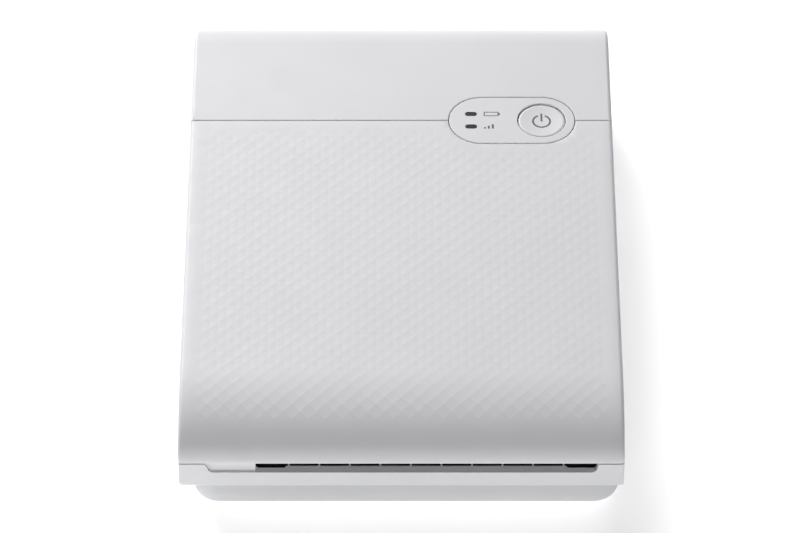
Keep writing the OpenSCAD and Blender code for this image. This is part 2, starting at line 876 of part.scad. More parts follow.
// Release slider: ribbed knob, stem through the wall and hook
module release_slider() {
    y1 = hook_y;
    color("whitesmoke") {
        difference() {
            block([-side_x, slider_y, slider_z - slider_h / 2],
                [-side_x + slider_pocket - 0.1, slider_y + slider_l, slider_z + slider_h / 2]);
            for (i = [1:4])
                block([-side_x - over, slider_y + i * 1.6 - 0.3, slider_z - 0.9],
                    [-side_x + 0.3, slider_y + i * 1.6 + 0.3, slider_z + 0.9]);
        }
        block([-side_x + slider_pocket - 0.1 - eps, y1 - 3, slider_z - 0.4],
            [hook_x + hook_t, y1 - 0.4, slider_z + 0.4]);
        block([hook_x, y1 - 2, slider_z - 0.4], [hook_x + hook_t, y1 - 0.4, hook_top]);
        block([hook_x, y1 - 0.4 - eps, hook_top - 1.2],
            [hook_x + hook_t, y1 - 0.8 - 0.3 + hook_nose, hook_top]);
    }
}

// Control panel: flush bezel with a hidden flange under the rear cover and two legs
module control_bezel() {
    low = body_h - wall;
    color("whitesmoke")
        difference() {
            union() {
                translate([0, 0, low - eps])
                    linear_extrude(wall + eps)
                        panel_outline(0);
                intersection() {
                    translate([0, 0, low - 0.8])
                        linear_extrude(0.8)
                            panel_outline(1.4);
                    block([panel_x - panel_w, seam_y + 0.8, 0], [panel_x + panel_w, rear_y, body_h]);
                }
                for (x = [board_x0 + 0.8, board_x1 - 0.8])
                    translate([x, seam_y + 2.4, board_z + board_t])
                        cylinder(r = 0.8, h = low - board_z - board_t + eps);
            }
            translate([button_x, seam_y, 0])
                cylinder(d = button_d, h = body_h + over);
            translate([button_x, seam_y, 0])
                cylinder(r = collar_r + 0.3, h = low);
            for (s = [-1, 1])
                translate([lens_x, seam_y + s * lens_pitch / 2, 0])
                    linear_extrude(body_h + over)
                        stadium(lens_w + 0.1, lens_d + 0.1);
        }
}

// Power button: dished cap, collar and stem
module power_button() {
    cap_r = button_d / 2 - button_gap;
    collar_z = body_h - wall - 0.2 - collar_t;
    stem_z = board_z + board_t + switch_h + button_travel + 0.1;
    dish_r = 60;
    color("white")
        translate([button_x, seam_y, 0])
            difference() {
                union() {
                    translate([0, 0, collar_z])
                        cylinder(r = cap_r, h = button_face - collar_z);
                    translate([0, 0, collar_z])
                        cylinder(r = collar_r, h = collar_t);
                    translate([0, 0, stem_z])
                        cylinder(r = 1.5, h = collar_z - stem_z + eps);
                }
                translate([0, 0, button_face + dish_r - 0.22])
                    sphere(dish_r);
                translate([0, 0, button_face - 0.45])
                    linear_extrude(over)
                        symbol_outline();
            }
}

// Generic power symbol: a broken ring and a bar
module symbol_outline() {
    ring_r = symbol_d / 2;
    difference() {
        circle(ring_r);
        circle(ring_r - symbol_w);
        polygon([[0, 0], [-ring_r * 0.55, ring_r * 1.3], [ring_r * 0.55, ring_r * 1.3]]);
    }
    translate([-symbol_w / 2, 0])
        square([symbol_w, ring_r * 1.16]);
}

// Inlaid power symbol on the button
module power_symbol() {
    color("dimgray")
        translate([button_x, seam_y, button_face - 0.45])
            linear_extrude(0.25)
                symbol_outline();
}

// Push switch under the power button
module power_switch() {
    color("dimgray")
        translate([button_x, seam_y, board_z + board_t]) {
            translate([-2.2, -2.2, 0])
                cube([4.4, 4.4, switch_h - 0.4]);
            cylinder(r = 1.1, h = switch_h);
        }
}

// Board under the control panel, with a lamp below each window
module button_board() {
    color("seagreen") {
        block([board_x0, board_y0, board_z], [board_x1, board_y1, board_z + board_t]);
        for (s = [-1, 1])
            translate([lens_x, seam_y + s * lens_pitch / 2, board_z + board_t + 0.35 - eps])
                cube([1.6, 0.8, 0.7], center = true);
    }
}

// Light guide of a status window
module status_window(s) {
    color("dimgray")
        translate([lens_x, seam_y + s * lens_pitch / 2, board_z + board_t + 0.8])
            linear_extrude(body_h - board_z - board_t - 0.8)
                stadium(lens_w, lens_d);
}

// Deck under the paper's way out
module paper_deck() {
    z0 = deck_top - deck_t;
    color("dimgray")
        union() {
            block([-in_x + 0.3, front_y + wall + 0.05, z0], [in_x - 0.3, engine_front_y - 1, deck_top]);
            block([slot_x0, engine_front_y - 1 - eps, z0],
                [slot_x1 - plate_gap, feed[0] - feed_r - 0.5, deck_top]);
        }
}

// Paper tray with side rails, legs and a window for the lift plate
module paper_tray() {
    x0 = paper_x - paper_w / 2 - tray_play;
    x1 = paper_x + paper_w / 2 + tray_play;
    y0 = front_y + tray_front + tray_wall;
    y1 = feed[0] - feed_r - 3;
    side_y0 = front_y + 7.65;
    color("gray") {
        difference() {
            union() {
                block([-shelf_x, y0 - tray_wall, tray_low], [shelf_x, engine_front_y - 1, tray_top]);
                block([x0 - tray_wall, engine_front_y - 1 - eps, tray_low], [x1 + tray_wall, y1, tray_top]);
            }
            block([paper_x - lift_w / 2 - lift_gap, lift_y0 - lift_gap, tray_low - over],
                [paper_x + lift_w / 2 + lift_gap, lift_y1 + lift_gap, tray_top + over]);
        }
        for (x = [x0 - tray_wall, x1])
            block([x, side_y0, tray_top - eps], [x + tray_wall, y1, tray_top + tray_wall_h]);
        block([x0, y0 - tray_wall, tray_top - eps], [x1, y0, tray_top + tray_front_h]);
        for (x = [-shelf_x, shelf_x - 1.2])
            block([x, front_y + 11, deck_top], [x + 1.2, engine_front_y - 6, tray_low + eps]);
    }
    color("gray")
        for (s = [-1, 1])
            let (x = paper_x + s * (lift_w / 2 + lift_gap + lift_ear_t / 2))
                along_x(x - lift_ear_t / 2, x + lift_ear_t / 2)
                    difference() {
                        translate([lift_pivot[0] - 1.1, lift_pivot[1] - 0.9])
                            square([2.2, tray_low - lift_pivot[1] + 0.9 + eps]);
                        translate(lift_pivot)
                            circle(lift_pivot_r + shaft_fit);
                    }
}

// Lift plate that presses the paper up, with lugs and pins in the tray's ears
module lift_plate() {
    x0 = paper_x - lift_w / 2;
    x1 = paper_x + lift_w / 2;
    pin_l = lift_gap + lift_ear_t;
    color("silver") {
        block([x0, lift_y0, tray_top - lift_t], [x1, lift_y1, tray_top]);
        for (x = [x0, x1 - lift_ear_t])
            block([x, lift_pivot[0] - 0.9, lift_pivot[1] - 0.9],
                [x + lift_ear_t, lift_pivot[0] + 0.9, tray_top - lift_t + eps]);
        for (x = [x0 - pin_l, x1 - eps])
            bar(x, x + pin_l + eps, lift_pivot, lift_pivot_r);
    }
}

// Pick-up roller: shaft, tyre and gear
module pickup_shaft() {
    color("silver")
        bar(layer_b, right_plate_x + plate_t + 0.5, pickup, shaft_r);
}

module pickup_tyre() {
    color("dimgray")
        difference() {
            bar(paper_x - pickup_w / 2, paper_x + pickup_w / 2, pickup, pickup_r);
            bar(-body_w, body_w, pickup, shaft_r);
        }
}

module pickup_gear() {
    color("ivory")
        difference() {
            gear(pickup_teeth, mesh_phase(feed_teeth, 0, pickup_teeth, pickup_angle), pickup,
                layer_b, layer_b + gear_t);
            bar(-body_w, body_w, pickup, shaft_r);
        }
}

// Feed roller with its long shaft
module feed_roller() {
    color("silver") {
        bar(layer_c, right_plate_x + plate_t + 0.5, feed, shaft_r);
        bar(paper_x - roller_w / 2, paper_x + roller_w / 2, feed, feed_r);
    }
}

// Feed gear and its pinion on the feed roller's shaft
module feed_gear() {
    color("ivory")
        difference() {
            union() {
                gear(feed_teeth, 0, feed, layer_b, layer_b + gear_t);
                gear(feed_pinion_teeth, 0, feed, layer_c, layer_b + eps);
            }
            bar(-body_w, body_w, feed, shaft_r);
        }
}

// Pinch roller above the feed roller
module pinch_roller() {
    color("dimgray") {
        bar(left_plate_x - 0.2, right_plate_x + plate_t + 0.2, pinch, shaft_r * 0.8);
        bar(paper_x - roller_w / 2, paper_x + roller_w / 2, pinch, pinch_r);
    }
}

// Idler: a large gear and a small one in one piece
module idler_gear() {
    color("ivory")
        difference() {
            union() {
                gear(idler_teeth, 0, idler, layer_a, layer_a + gear_t);
                gear(idler_pinion_teeth, mesh_phase(feed_teeth, 0, idler_pinion_teeth, idler_angle),
                    idler, layer_b, layer_a + eps);
            }
            bar(-body_w, body_w, idler, head_shaft_r + shaft_fit);
        }
}

// Stud that the idler turns on, with a head
module idler_stud() {
    color("silver") {
        bar(layer_b - 0.7, left_plate_x, idler, head_shaft_r);
        bar(layer_b - 0.7, layer_b - 0.2, idler, head_shaft_r + 0.8);
    }
}

// Motor of the gear train, bolted inside the left side plate
module feed_motor() {
    x0 = left_plate_x + plate_t;
    color("silver")
        difference() {
            union() {
                bar(x0, x0 + motor_l, motor, motor_r);
                bar(x0 + motor_l - eps, x0 + motor_l + 1.2, motor, 2.2);
            }
            bar(x0 - over, x0 + 2.6, motor, head_shaft_r - 0.2 + shaft_fit);
        }
}

// Motor pinion with its shaft
module motor_pinion() {
    color("goldenrod") {
        gear(motor_teeth, mesh_phase(idler_teeth, 0, motor_teeth, motor_angle), motor,
            layer_a, layer_a + gear_t);
        bar(layer_a - 0.6, left_plate_x + plate_t + 2.2, motor, head_shaft_r - 0.2);
    }
}

// Outline of the engine's side plates
module plate_outline() {
    top = body_h - wall - 1.2;
    polygon([
        [engine_front_y, floor_z], [rear_y - 7.65, floor_z], [rear_y - 7.65, top - 6],
        [rear_y - 19.65, top], [pickup[0] - 4, top], [pickup[0] - 8, deck_top - deck_t],
        [engine_front_y, deck_top - deck_t - 0.4]
    ]);
}

// Shaft holes of the side plates
module plate_holes() {
    for (p = [pickup, feed, platen])
        translate(p)
            circle(shaft_r + shaft_fit);
    translate(pinch)
        circle(shaft_r * 0.8 + shaft_fit);
}

// Left side plate, which carries the gears and the motor
module left_side_plate() {
    color("silver")
        along_x(left_plate_x, left_plate_x + plate_t)
            difference() {
                plate_outline();
                plate_holes();
                translate(head_shaft)
                    circle(head_shaft_r);
                translate(motor)
                    circle(head_shaft_r + 0.4);
                translate(take_up)
                    circle(shaft_r + 0.4);
            }
}

// Right side plate, with the window that the cassette goes in through
module right_side_plate() {
    color("silver")
        along_x(right_plate_x, right_plate_x + plate_t)
            difference() {
                plate_outline();
                plate_holes();
                translate(head_shaft)
                    circle(head_shaft_r);
                cassette_outline(0.5);
                for (y = [take_up[0], rear_bar[0]])
                    translate([y, floor_z - over])
                        square([front_bar[0] - take_up[0], supply[1] - floor_z + over]);
                translate([supply[0], floor_z - over])
                    square([rear_y - supply[0], supply[1] - floor_z + over]);
            }
}

// Guides that lead the paper past the print head
module rear_paper_guide() {
    z0 = deck_top - 0.5;
    x1 = right_plate_x - eps;
    color("dimgray") {
        block([slot_x0 - plate_gap + eps, feed[0] + feed_r + 0.4, z0], [x1, head_y - 6.6, deck_top]);
        block([slot_x0 - plate_gap + eps, rear_bar[0] + 1.8, z0], [x1, rear_y - 4.65, deck_top]);
    }
}

// Platen roller on its shaft
module platen_shaft() {
    color("silver")
        bar(left_plate_x - 0.5, right_plate_x + plate_t + 0.5, platen, shaft_r);
}

module platen_roller() {
    color("dimgray")
        difference() {
            bar(paper_x - roller_w / 2, paper_x + roller_w / 2, platen, platen_r);
            bar(-body_w, body_w, platen, shaft_r);
        }
}

// Ceramic strip of the print head
module print_head() {
    color("tan")
        along_x(paper_x - paper_w / 2 + 0.5, paper_x + paper_w / 2 - 0.5)
            translate([head_y - head_strip / 2, sink_top])
                square([head_strip, head_strip_t]);
}

// Heat sink that carries the ceramic strip and pivots on the head's shaft
module head_heat_sink() {
    y0 = head_y - head_strip / 2 - strip_in;
    z0 = floor_z + cassette_gap + trough_t + 2.4;
    heel = head_shaft_r + 1.2;
    color("silver")
        along_x(paper_x - paper_w / 2 + 0.5, paper_x + paper_w / 2 - 0.5)
            difference() {
                polygon([
                    [y0, z0], [head_shaft[0] + heel, z0], [head_shaft[0] + heel, head_shaft[1] + heel],
                    [y0 + sink_d, sink_top - 3], [y0 + sink_d, sink_top], [y0, sink_top]
                ]);
                for (i = [0:2])
                    translate([y0 - over, z0 + 3 + i * 2.6])
                        square([3.4 + over, 1.2]);
                translate(head_shaft)
                    circle(head_shaft_r + shaft_fit);
            }
}

// Shaft of the print head, fixed in the side plates
module head_shaft() {
    color("silver")
        bar(left_plate_x, right_plate_x + plate_t, head_shaft, head_shaft_r);
}

// Side view of the cassette's end plates, grown by a clearance
module cassette_outline(gap) {
    low = floor_z + cassette_gap;
    translate(take_up)
        circle(take_up_trough_out + gap);
    translate(supply)
        circle(supply_trough_out + gap);
    translate([take_up[0], low - gap])
        square([supply[0] - take_up[0], trough_t + 0.6 + 2 * gap]);
    for (p = [front_bar, rear_bar])
        translate([p[0] - bar_r - 0.2 - gap, low - gap])
            square([2 * bar_r + 0.4 + 2 * gap, p[1] + bar_r + 0.2 - low + 2 * gap]);
}

// Side view of one trough, open at the top
module trough(p, r) {
    difference() {
        translate(p)
            circle(r + trough_t);
        translate(p)
            circle(r);
        translate([p[0] - 2 * r, p[1]])
            square([4 * r, 2 * r]);
    }
}

// Frame of the ribbon cassette: two troughs between end plates, guide bars and a grip
module cassette_frame() {
    low = floor_z + cassette_gap;
    color("dimgray")
        difference() {
            union() {
                for (x = [cassette_x0 - end_plate_t, cassette_x1])
                    along_x(x, x + end_plate_t)
                        cassette_outline(0);
                along_x(cassette_x0 - eps, cassette_x1 + eps) {
                    trough(take_up, take_up_trough_r);
                    trough(supply, supply_trough_r);
                    difference() {
                        translate([take_up[0], low])
                            square([supply[0] - take_up[0], trough_t + 0.6]);
                        translate(take_up)
                            circle(take_up_trough_r);
                        translate(supply)
                            circle(supply_trough_r);
                    }
                    for (p = [front_bar, rear_bar])
                        translate(p)
                            circle(bar_r);
                }
                block([cassette_x1 + end_plate_t - eps, head_y - 6, low],
                    [cassette_x1 + end_plate_t + grip_l, head_y + 8, low + 1.4]);
            }
            for (p = [take_up, supply])
                bar(-body_w, body_w, p, shaft_r + shaft_fit);
        }
}

// Core of the unused ribbon
module supply_spool() {
    color("ivory") {
        bar(cassette_x0 + 0.2, cassette_x1 - 0.2, supply, core_r);
        bar(cassette_x0 - end_plate_t, cassette_x1 + end_plate_t, supply, shaft_r);
    }
}

module supply_ribbon() {
    color("gold")
        difference() {
            bar(paper_x - film_w / 2, paper_x + film_w / 2, supply, supply_roll_r);
            bar(-body_w, body_w, supply, core_r);
        }
}

// Core of the used ribbon, driven by the take-up gear
module take_up_spool() {
    color("ivory") {
        bar(cassette_x0 + 0.2, cassette_x1 - 0.2, take_up, core_r);
        bar(layer_c, cassette_x1 + end_plate_t, take_up, shaft_r);
    }
}

module take_up_ribbon() {
    color("mediumorchid")
        difference() {
            bar(paper_x - film_w / 2, paper_x + film_w / 2, take_up, take_up_roll_r);
            bar(-body_w, body_w, take_up, core_r);
        }
}

module take_up_gear() {
    color("ivory")
        difference() {
            gear(take_up_teeth, mesh_phase(feed_pinion_teeth, 0, take_up_teeth, take_up_angle),
                take_up, layer_c, layer_c + gear_t);
            bar(-body_w, body_w, take_up, shaft_r);
        }
}

// Ribbon between the rolls, over the guide bars and the print head
module ribbon_film() {
    lift = bar_r + 0.06 + film_t / 2;
    over_head = head_top + 0.05 + film_t / 2;
    half = head_strip / 2 + 0.2;
    path = concat(
        [[take_up[0] + take_up_roll_r + 0.03 + film_t / 2, take_up[1]]],
        bend(front_bar, lift, 180, 105),
        [[head_y - half, over_head], [head_y + half, over_head]],
        bend(rear_bar, lift, 75, 0),
        [[supply[0] - supply_roll_r - 0.03 - film_t / 2, supply[1]]]
    );
    color("mediumorchid")
        along_x(paper_x - film_w / 2, paper_x + film_w / 2)
            for (i = [0:len(path) - 2])
                let (
                    d = path[i + 1] - path[i],
                    n = [-d[1], d[0]] / norm(d) * film_t / 2,
                    t = d / norm(d) * 0.02
                )
                polygon([path[i] - t + n, path[i + 1] + t + n, path[i + 1] + t - n, path[i] - t - n]);
}

// Side door of the cassette bay, hinged along its lower edge
module cassette_door() {
    color("whitesmoke")
        along_y(door_y0, door_y1)
            difference() {
                union() {
                    translate(door_axis)
                        circle(door_axis_in);
                    translate([side_x - door_t, door_axis[1]])
                        square([door_t, door_top_z - door_axis[1]]);
                }
                translate(door_axis)
                    circle(door_pin_r + shaft_fit);
            }
}

// Short pins of the side door, held in the lower case
module door_pins() {
    color("silver")
        for (span = [[door_pin_y0, door_y0 + door_pin_in], [door_y1 - door_pin_in, door_pin_y1]])
            along_y(span[0], span[1])
                translate(door_axis)
                    circle(door_pin_r);
}

// Main board with its larger components
module main_board() {
    x0 = -main_board_w / 2;
    color("seagreen") {
        block([x0, main_board_y0, main_board_z],
            [x0 + main_board_w, main_board_y0 + main_board_l, main_board_z + board_t]);
        for (c = [[12, 12, 12, 12, 1.2], [34, 20, 9, 9, 1], [54, 8, 16, 10, 1.6], [60, 30, 7, 12, 1.4]])
            translate([x0 + c[0], main_board_y0 + c[1], main_board_z + board_t - eps])
                cube([c[2], c[3], c[4] + eps]);
    }
}

// Flat battery pack on the floor of the lower case
module battery_pack() {
    color("slategray")
        translate([battery_x, battery_y, floor_z])
            linear_extrude(battery_h)
                round_rect([-battery_w / 2, -battery_l / 2], [battery_w / 2, battery_l / 2], 2);
}

// Board that carries the USB socket
module power_board() {
    color("seagreen")
        block([usb_x - usb_w / 2 - 0.3, rear_y - 22.65, power_board_z],
            [usb_x + usb_w / 2 + 0.3, rear_y - wall - 0.3, power_board_z + board_t]);
}

// Shell of the USB socket, open at the rear
module usb_socket() {
    color("silver")
        along_y(rear_y - usb_l - 0.4, rear_y - 0.4)
            translate([usb_x, usb_z + usb_h / 2])
                difference() {
                    stadium(usb_w, usb_h);
                    stadium(usb_w - 0.6, usb_h - 0.6);
                }
}

// Screws that hold the middle frame on the lower case, from below
module case_screws() {
    z0 = floor_z + screw_head_h;
    color("silver")
        for (p = screw_places)
            translate([p[0], p[1], 0])
                difference() {
                    union() {
                        translate([0, 0, z0 - screw_head_h])
                            cylinder(d = screw_head_d, h = screw_head_h);
                        translate([0, 0, z0 - eps])
                            cylinder(d = screw_d - 0.02, h = screw_l);
                    }
                    for (a = [0, 90])
                        rotate([0, 0, a])
                            translate([-0.9, -0.2, z0 - screw_head_h - eps])
                                cube([1.8, 0.4, 0.6]);
                }
}

// A rubber foot in its pocket
module foot(i) {
    color("dimgray")
        translate([foot_places[i][0], foot_places[i][1], 0])
            cylinder(d = foot_d - 0.02, h = base_stand + foot_pocket);
}

lower_case();
middle_frame();
rear_cover();
paper_cover();
hinge_arms();
hinge_pins();
release_slider();
control_bezel();
power_button();
power_symbol();
power_switch();
button_board();
status_window(1);  // upper_status_window
status_window(-1);  // lower_status_window
paper_deck();
paper_tray();
lift_plate();
pickup_shaft();
pickup_tyre();
pickup_gear();
feed_roller();
feed_gear();
pinch_roller();
idler_gear();
idler_stud();
feed_motor();
motor_pinion();
left_side_plate();
right_side_plate();
rear_paper_guide();
platen_shaft();
platen_roller();
print_head();
head_heat_sink();
head_shaft();
cassette_frame();
supply_spool();
supply_ribbon();
take_up_spool();
take_up_ribbon();
take_up_gear();
ribbon_film();
cassette_door();
door_pins();
main_board();
battery_pack();
power_board();
usb_socket();
case_screws();
foot(0);  // foot_left_front
foot(1);  // foot_left_rear
foot(2);  // foot_right_front
foot(3);  // foot_right_rear
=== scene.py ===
import json
from bisect import bisect_left
from math import cos, hypot, pi, radians, sin, sqrt

import bmesh
import bpy
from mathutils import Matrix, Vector


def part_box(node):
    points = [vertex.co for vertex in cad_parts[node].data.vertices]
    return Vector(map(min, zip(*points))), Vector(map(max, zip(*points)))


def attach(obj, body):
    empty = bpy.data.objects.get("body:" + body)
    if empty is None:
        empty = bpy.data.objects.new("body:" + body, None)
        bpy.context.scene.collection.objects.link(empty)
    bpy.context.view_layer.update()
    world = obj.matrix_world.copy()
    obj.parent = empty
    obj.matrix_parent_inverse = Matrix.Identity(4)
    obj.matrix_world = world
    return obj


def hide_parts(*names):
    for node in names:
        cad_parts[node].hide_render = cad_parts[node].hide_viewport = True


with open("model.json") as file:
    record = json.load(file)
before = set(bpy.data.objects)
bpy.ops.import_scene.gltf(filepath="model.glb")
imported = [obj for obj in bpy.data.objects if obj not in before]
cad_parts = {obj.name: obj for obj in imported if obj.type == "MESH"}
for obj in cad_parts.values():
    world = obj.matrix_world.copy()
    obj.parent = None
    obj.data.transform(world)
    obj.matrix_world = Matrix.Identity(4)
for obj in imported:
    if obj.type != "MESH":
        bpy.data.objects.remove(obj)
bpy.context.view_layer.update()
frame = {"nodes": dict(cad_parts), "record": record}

mm = 0.001
scene = bpy.context.scene
nodes = frame["nodes"]
print("frame loaded,", len(nodes), "nodes")

# the case's main sizes in mm: the outer ones are read off the frame
case = {"edge": 21.7, "seam": 38.75, "wall": 1.8}   # height of the covers' edge, seam from the back
coverLow, coverHigh = (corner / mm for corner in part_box("paper_cover"))
rearLow, rearHigh = (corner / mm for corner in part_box("rear_cover"))
frameLow, frameHigh = (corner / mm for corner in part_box("middle_frame"))
half = coverHigh.x
frontY = coverLow.y
rearY = rearHigh.y
top = coverHigh.z
edgeZ = case["edge"]
seamY = rearY - case["seam"]
wall = case["wall"]
innerX = half - wall
over = 1                          # how far a cutter stands past what it cuts
weld = {"fine": 1e-7, "skin": 1e-6, "copy": 2e-6}   # merging distances in metres


def setInputs(node, values):
    for name, value in values.items():
        node.inputs[name].default_value = value


# camera, light and floor

view = {"place": (-0.3, -830.3, 847.0), "tilt": 44.9, "lens": 220.5, "sensor": 36, "far": 20}

bpy.ops.object.camera_add(location=[v * mm for v in view["place"]],
                          rotation=(radians(view["tilt"]), 0, 0))
camera = bpy.context.object
camera.data.lens = view["lens"]
camera.data.sensor_width = view["sensor"]
camera.data.clip_end = view["far"]
scene.camera = camera

studio = {
    "sky": 0.0, "floorSize": 8, "floorTone": 0.96, "floorRough": 0.9, "floorGlow": 0.6,
    "lights": {
        "rear left softbox": {"place": (-0.55, 1.1, 0.85), "size": 1.0, "power": 21.7},
        "top softbox": {"place": (-0.3, 0.4, 1.4), "size": 0.9, "power": 5.9},
        "low front card": {"place": (-0.1, -1.0, 0.3), "size": 0.5, "power": 2.5},
    },
}


def addSoftLight(name, place, size, power):
    bpy.ops.object.light_add(type="AREA", location=place)
    lamp = bpy.context.object
    lamp.name = name
    lamp.data.shape = "DISK"
    lamp.data.size = size
    lamp.data.energy = power
    lamp.rotation_euler = (-Vector(place)).to_track_quat("-Z", "Y").to_euler()


for lightName, values in studio["lights"].items():
    addSoftLight(lightName, **values)

sky = bpy.data.worlds.new("studio sky")
sky.use_nodes = True
setInputs(sky.node_tree.nodes["Background"], {"Color": (1, 1, 1, 1), "Strength": studio["sky"]})
scene.world = sky
scene.view_settings.view_transform = "Standard"
scene.view_settings.look = "None"

bpy.ops.mesh.primitive_plane_add(size=studio["floorSize"], location=(0, 0, 0))
floor = bpy.context.object
floor.name = "studio_floor"
floorPaint = bpy.data.materials.new("pale floor")
floorPaint.use_nodes = True
setInputs(floorPaint.node_tree.nodes["Principled BSDF"], {
    "Base Color": (*[studio["floorTone"]] * 3, 1), "Roughness": studio["floorRough"],
    "Emission Color": (1, 1, 1, 1), "Emission Strength": studio["floorGlow"],
})
floor.data.materials.append(floorPaint)
print("camera, lights and floor in place")


# finishes

def newFinish(name):
    mat = bpy.data.materials.new(name)
    mat.use_nodes = True
    tree = mat.node_tree
    return mat, tree, tree.nodes["Principled BSDF"]


def grain(tree, size, detail=3.0, stretch=(1, 1, 1)):
    # noise whose grains are about size mm across, pulled along an axis by a small stretch
    coords = tree.nodes.new("ShaderNodeTexCoord")
    mapping = tree.nodes.new("ShaderNodeMapping")
    setInputs(mapping, {"Scale": stretch})
    noise = tree.nodes.new("ShaderNodeTexNoise")
    setInputs(noise, {"Scale": 1 / (size * mm), "Detail": detail})
    tree.links.new(coords.outputs["Object"], mapping.inputs["Vector"])
    tree.links.new(mapping.outputs["Vector"], noise.inputs["Vector"])
    return noise


noiseSpan = (0.3, 0.7)            # nearly all of the noise's values lie in here


def tint(tree, shader, noise, colour, spread):
    ramp = tree.nodes.new("ShaderNodeValToRGB")
    low, high = ramp.color_ramp.elements
    low.position, high.position = noiseSpan
    low.color = [max(0, c * (1 - spread)) for c in colour] + [1]
    high.color = [min(1, c * (1 + spread)) for c in colour] + [1]
    tree.links.new(noise.outputs["Fac"], ramp.inputs["Fac"])
    tree.links.new(ramp.outputs["Color"], shader.inputs["Base Color"])


def roughen(tree, shader, noise, low, high):
    span = tree.nodes.new("ShaderNodeMapRange")
    setInputs(span, {"From Min": noiseSpan[0], "From Max": noiseSpan[1],
                     "To Min": low, "To Max": high})
    tree.links.new(noise.outputs["Fac"], span.inputs["Value"])
    tree.links.new(span.outputs["Result"], shader.inputs["Roughness"])


def emboss(tree, shader, noise, depth, strength=1.0):
    bump = tree.nodes.new("ShaderNodeBump")
    setInputs(bump, {"Strength": strength, "Distance": depth * mm})
    tree.links.new(noise.outputs["Fac"], bump.inputs["Height"])
    tree.links.new(bump.outputs["Normal"], shader.inputs["Normal"])


plastic = {"ior": 1.5, "cloud": 14, "patch": 3, "shinier": 0.04, "duller": 0.05}


def moulding(name, colour, rough, texture=0.16, depth=0.004, spread=0.012):
    # moulded plastic: spark-eroded texture, a faint cloudiness and uneven sheen
    mat, tree, shader = newFinish(name)
    setInputs(shader, {"IOR": plastic["ior"]})
    tint(tree, shader, grain(tree, plastic["cloud"], 2), colour, spread)
    roughen(tree, shader, grain(tree, plastic["patch"]),
            rough - plastic["shinier"], rough + plastic["duller"])
    emboss(tree, shader, grain(tree, texture, 2), depth)
    return mat


ground = {"cloud": 6, "spread": 0.05, "size": 0.25, "depth": 0.0015, "shinier": 0.07, "duller": 0.1}


def metal(name, colour, rough, stretch):
    # drawn or ground metal: the grain runs along the axis with the smallest stretch
    mat, tree, shader = newFinish(name)
    setInputs(shader, {"Metallic": 1.0})
    tint(tree, shader, grain(tree, ground["cloud"]), colour, ground["spread"])
    roughen(tree, shader, grain(tree, ground["size"], 4, stretch),
            rough - ground["shinier"], rough + ground["duller"])
    emboss(tree, shader, grain(tree, ground["size"], 3, stretch), ground["depth"])
    return mat


crumb = {"cloud": 1.5, "spread": 0.12, "patch": 0.6, "uneven": 0.06, "size": 0.22, "depth": 0.012}


def softRubber(name, colour, rough):
    mat, tree, shader = newFinish(name)
    tint(tree, shader, grain(tree, crumb["cloud"], 4), colour, crumb["spread"])
    roughen(tree, shader, grain(tree, crumb["patch"]),
            rough - crumb["uneven"], rough + crumb["uneven"])
    emboss(tree, shader, grain(tree, crumb["size"], 4), crumb["depth"])
    return mat


nylon = {"glow": 0.12, "reach": (0.0012, 0.001, 0.0008), "cloud": 4, "spread": 0.04,
         "patch": 1.2, "rough": (0.34, 0.48), "size": 0.3, "depth": 0.003}


def naturalNylon(name, colour):
    mat, tree, shader = newFinish(name)
    setInputs(shader, {"Subsurface Weight": nylon["glow"], "Subsurface Radius": nylon["reach"]})
    tint(tree, shader, grain(tree, nylon["cloud"]), colour, nylon["spread"])
    roughen(tree, shader, grain(tree, nylon["patch"]), *nylon["rough"])
    emboss(tree, shader, grain(tree, nylon["size"], 2), nylon["depth"])
    return mat


laminate = {"cell": 2.4, "line": 0.06, "blur": 0.1, "shade": 0.86, "patch": 2,
            "rough": (0.26, 0.38), "depth": 0.02, "relief": 0.6}


def circuitBoard(name, mask, track):
    # solder mask over tracks that are laid out like the joints of brickwork
    mat, tree, shader = newFinish(name)
    coords = tree.nodes.new("ShaderNodeTexCoord")
    tracks = tree.nodes.new("ShaderNodeTexBrick")
    setInputs(tracks, {
        "Scale": 1 / (laminate["cell"] * mm), "Mortar Size": laminate["line"],
        "Mortar Smooth": laminate["blur"], "Mortar": (*track, 1), "Color1": (*mask, 1),
        "Color2": (*[c * laminate["shade"] for c in mask], 1),
    })
    tree.links.new(coords.outputs["Object"], tracks.inputs["Vector"])
    tree.links.new(tracks.outputs["Color"], shader.inputs["Base Color"])
    roughen(tree, shader, grain(tree, laminate["patch"]), *laminate["rough"])
    emboss(tree, shader, tracks, laminate["depth"], laminate["relief"])
    return mat


film = {"wander": 0.2, "coat": 0.5, "coatRough": 0.15, "patch": 5, "rough": (0.2, 0.32),
        "size": 1.2, "stretch": (0.05, 1, 1), "depth": 0.006}


def woundFilm(name, colours, pitch):
    # dyed film: bands of each colour in turn along the roll's depth
    mat, tree, shader = newFinish(name)
    coords = tree.nodes.new("ShaderNodeTexCoord")
    wave = tree.nodes.new("ShaderNodeTexWave")
    wave.wave_type = "BANDS"
    wave.bands_direction = "Y"
    setInputs(wave, {"Scale": 1 / (pitch * mm), "Distortion": film["wander"]})
    ramp = tree.nodes.new("ShaderNodeValToRGB")
    for stop, colour in zip(ramp.color_ramp.elements, colours):
        stop.color = (*colour, 1)
    tree.links.new(coords.outputs["Object"], wave.inputs["Vector"])
    tree.links.new(wave.outputs["Fac"], ramp.inputs["Fac"])
    tree.links.new(ramp.outputs["Color"], shader.inputs["Base Color"])
    setInputs(shader, {"Coat Weight": film["coat"], "Coat Roughness": film["coatRough"]})
    roughen(tree, shader, grain(tree, film["patch"], 2), *film["rough"])
    emboss(tree, shader, grain(tree, film["size"], 2, film["stretch"]), film["depth"])
    return mat


# the tub's tone is darker than the case's: painted shade for the shadow under the frame's lip
white = {"case": (0.78, 0.782, 0.803), "tub": (0.6, 0.603, 0.62),
         "cover": (0.80, 0.794, 0.822), "panel": (0.81, 0.804, 0.832)}

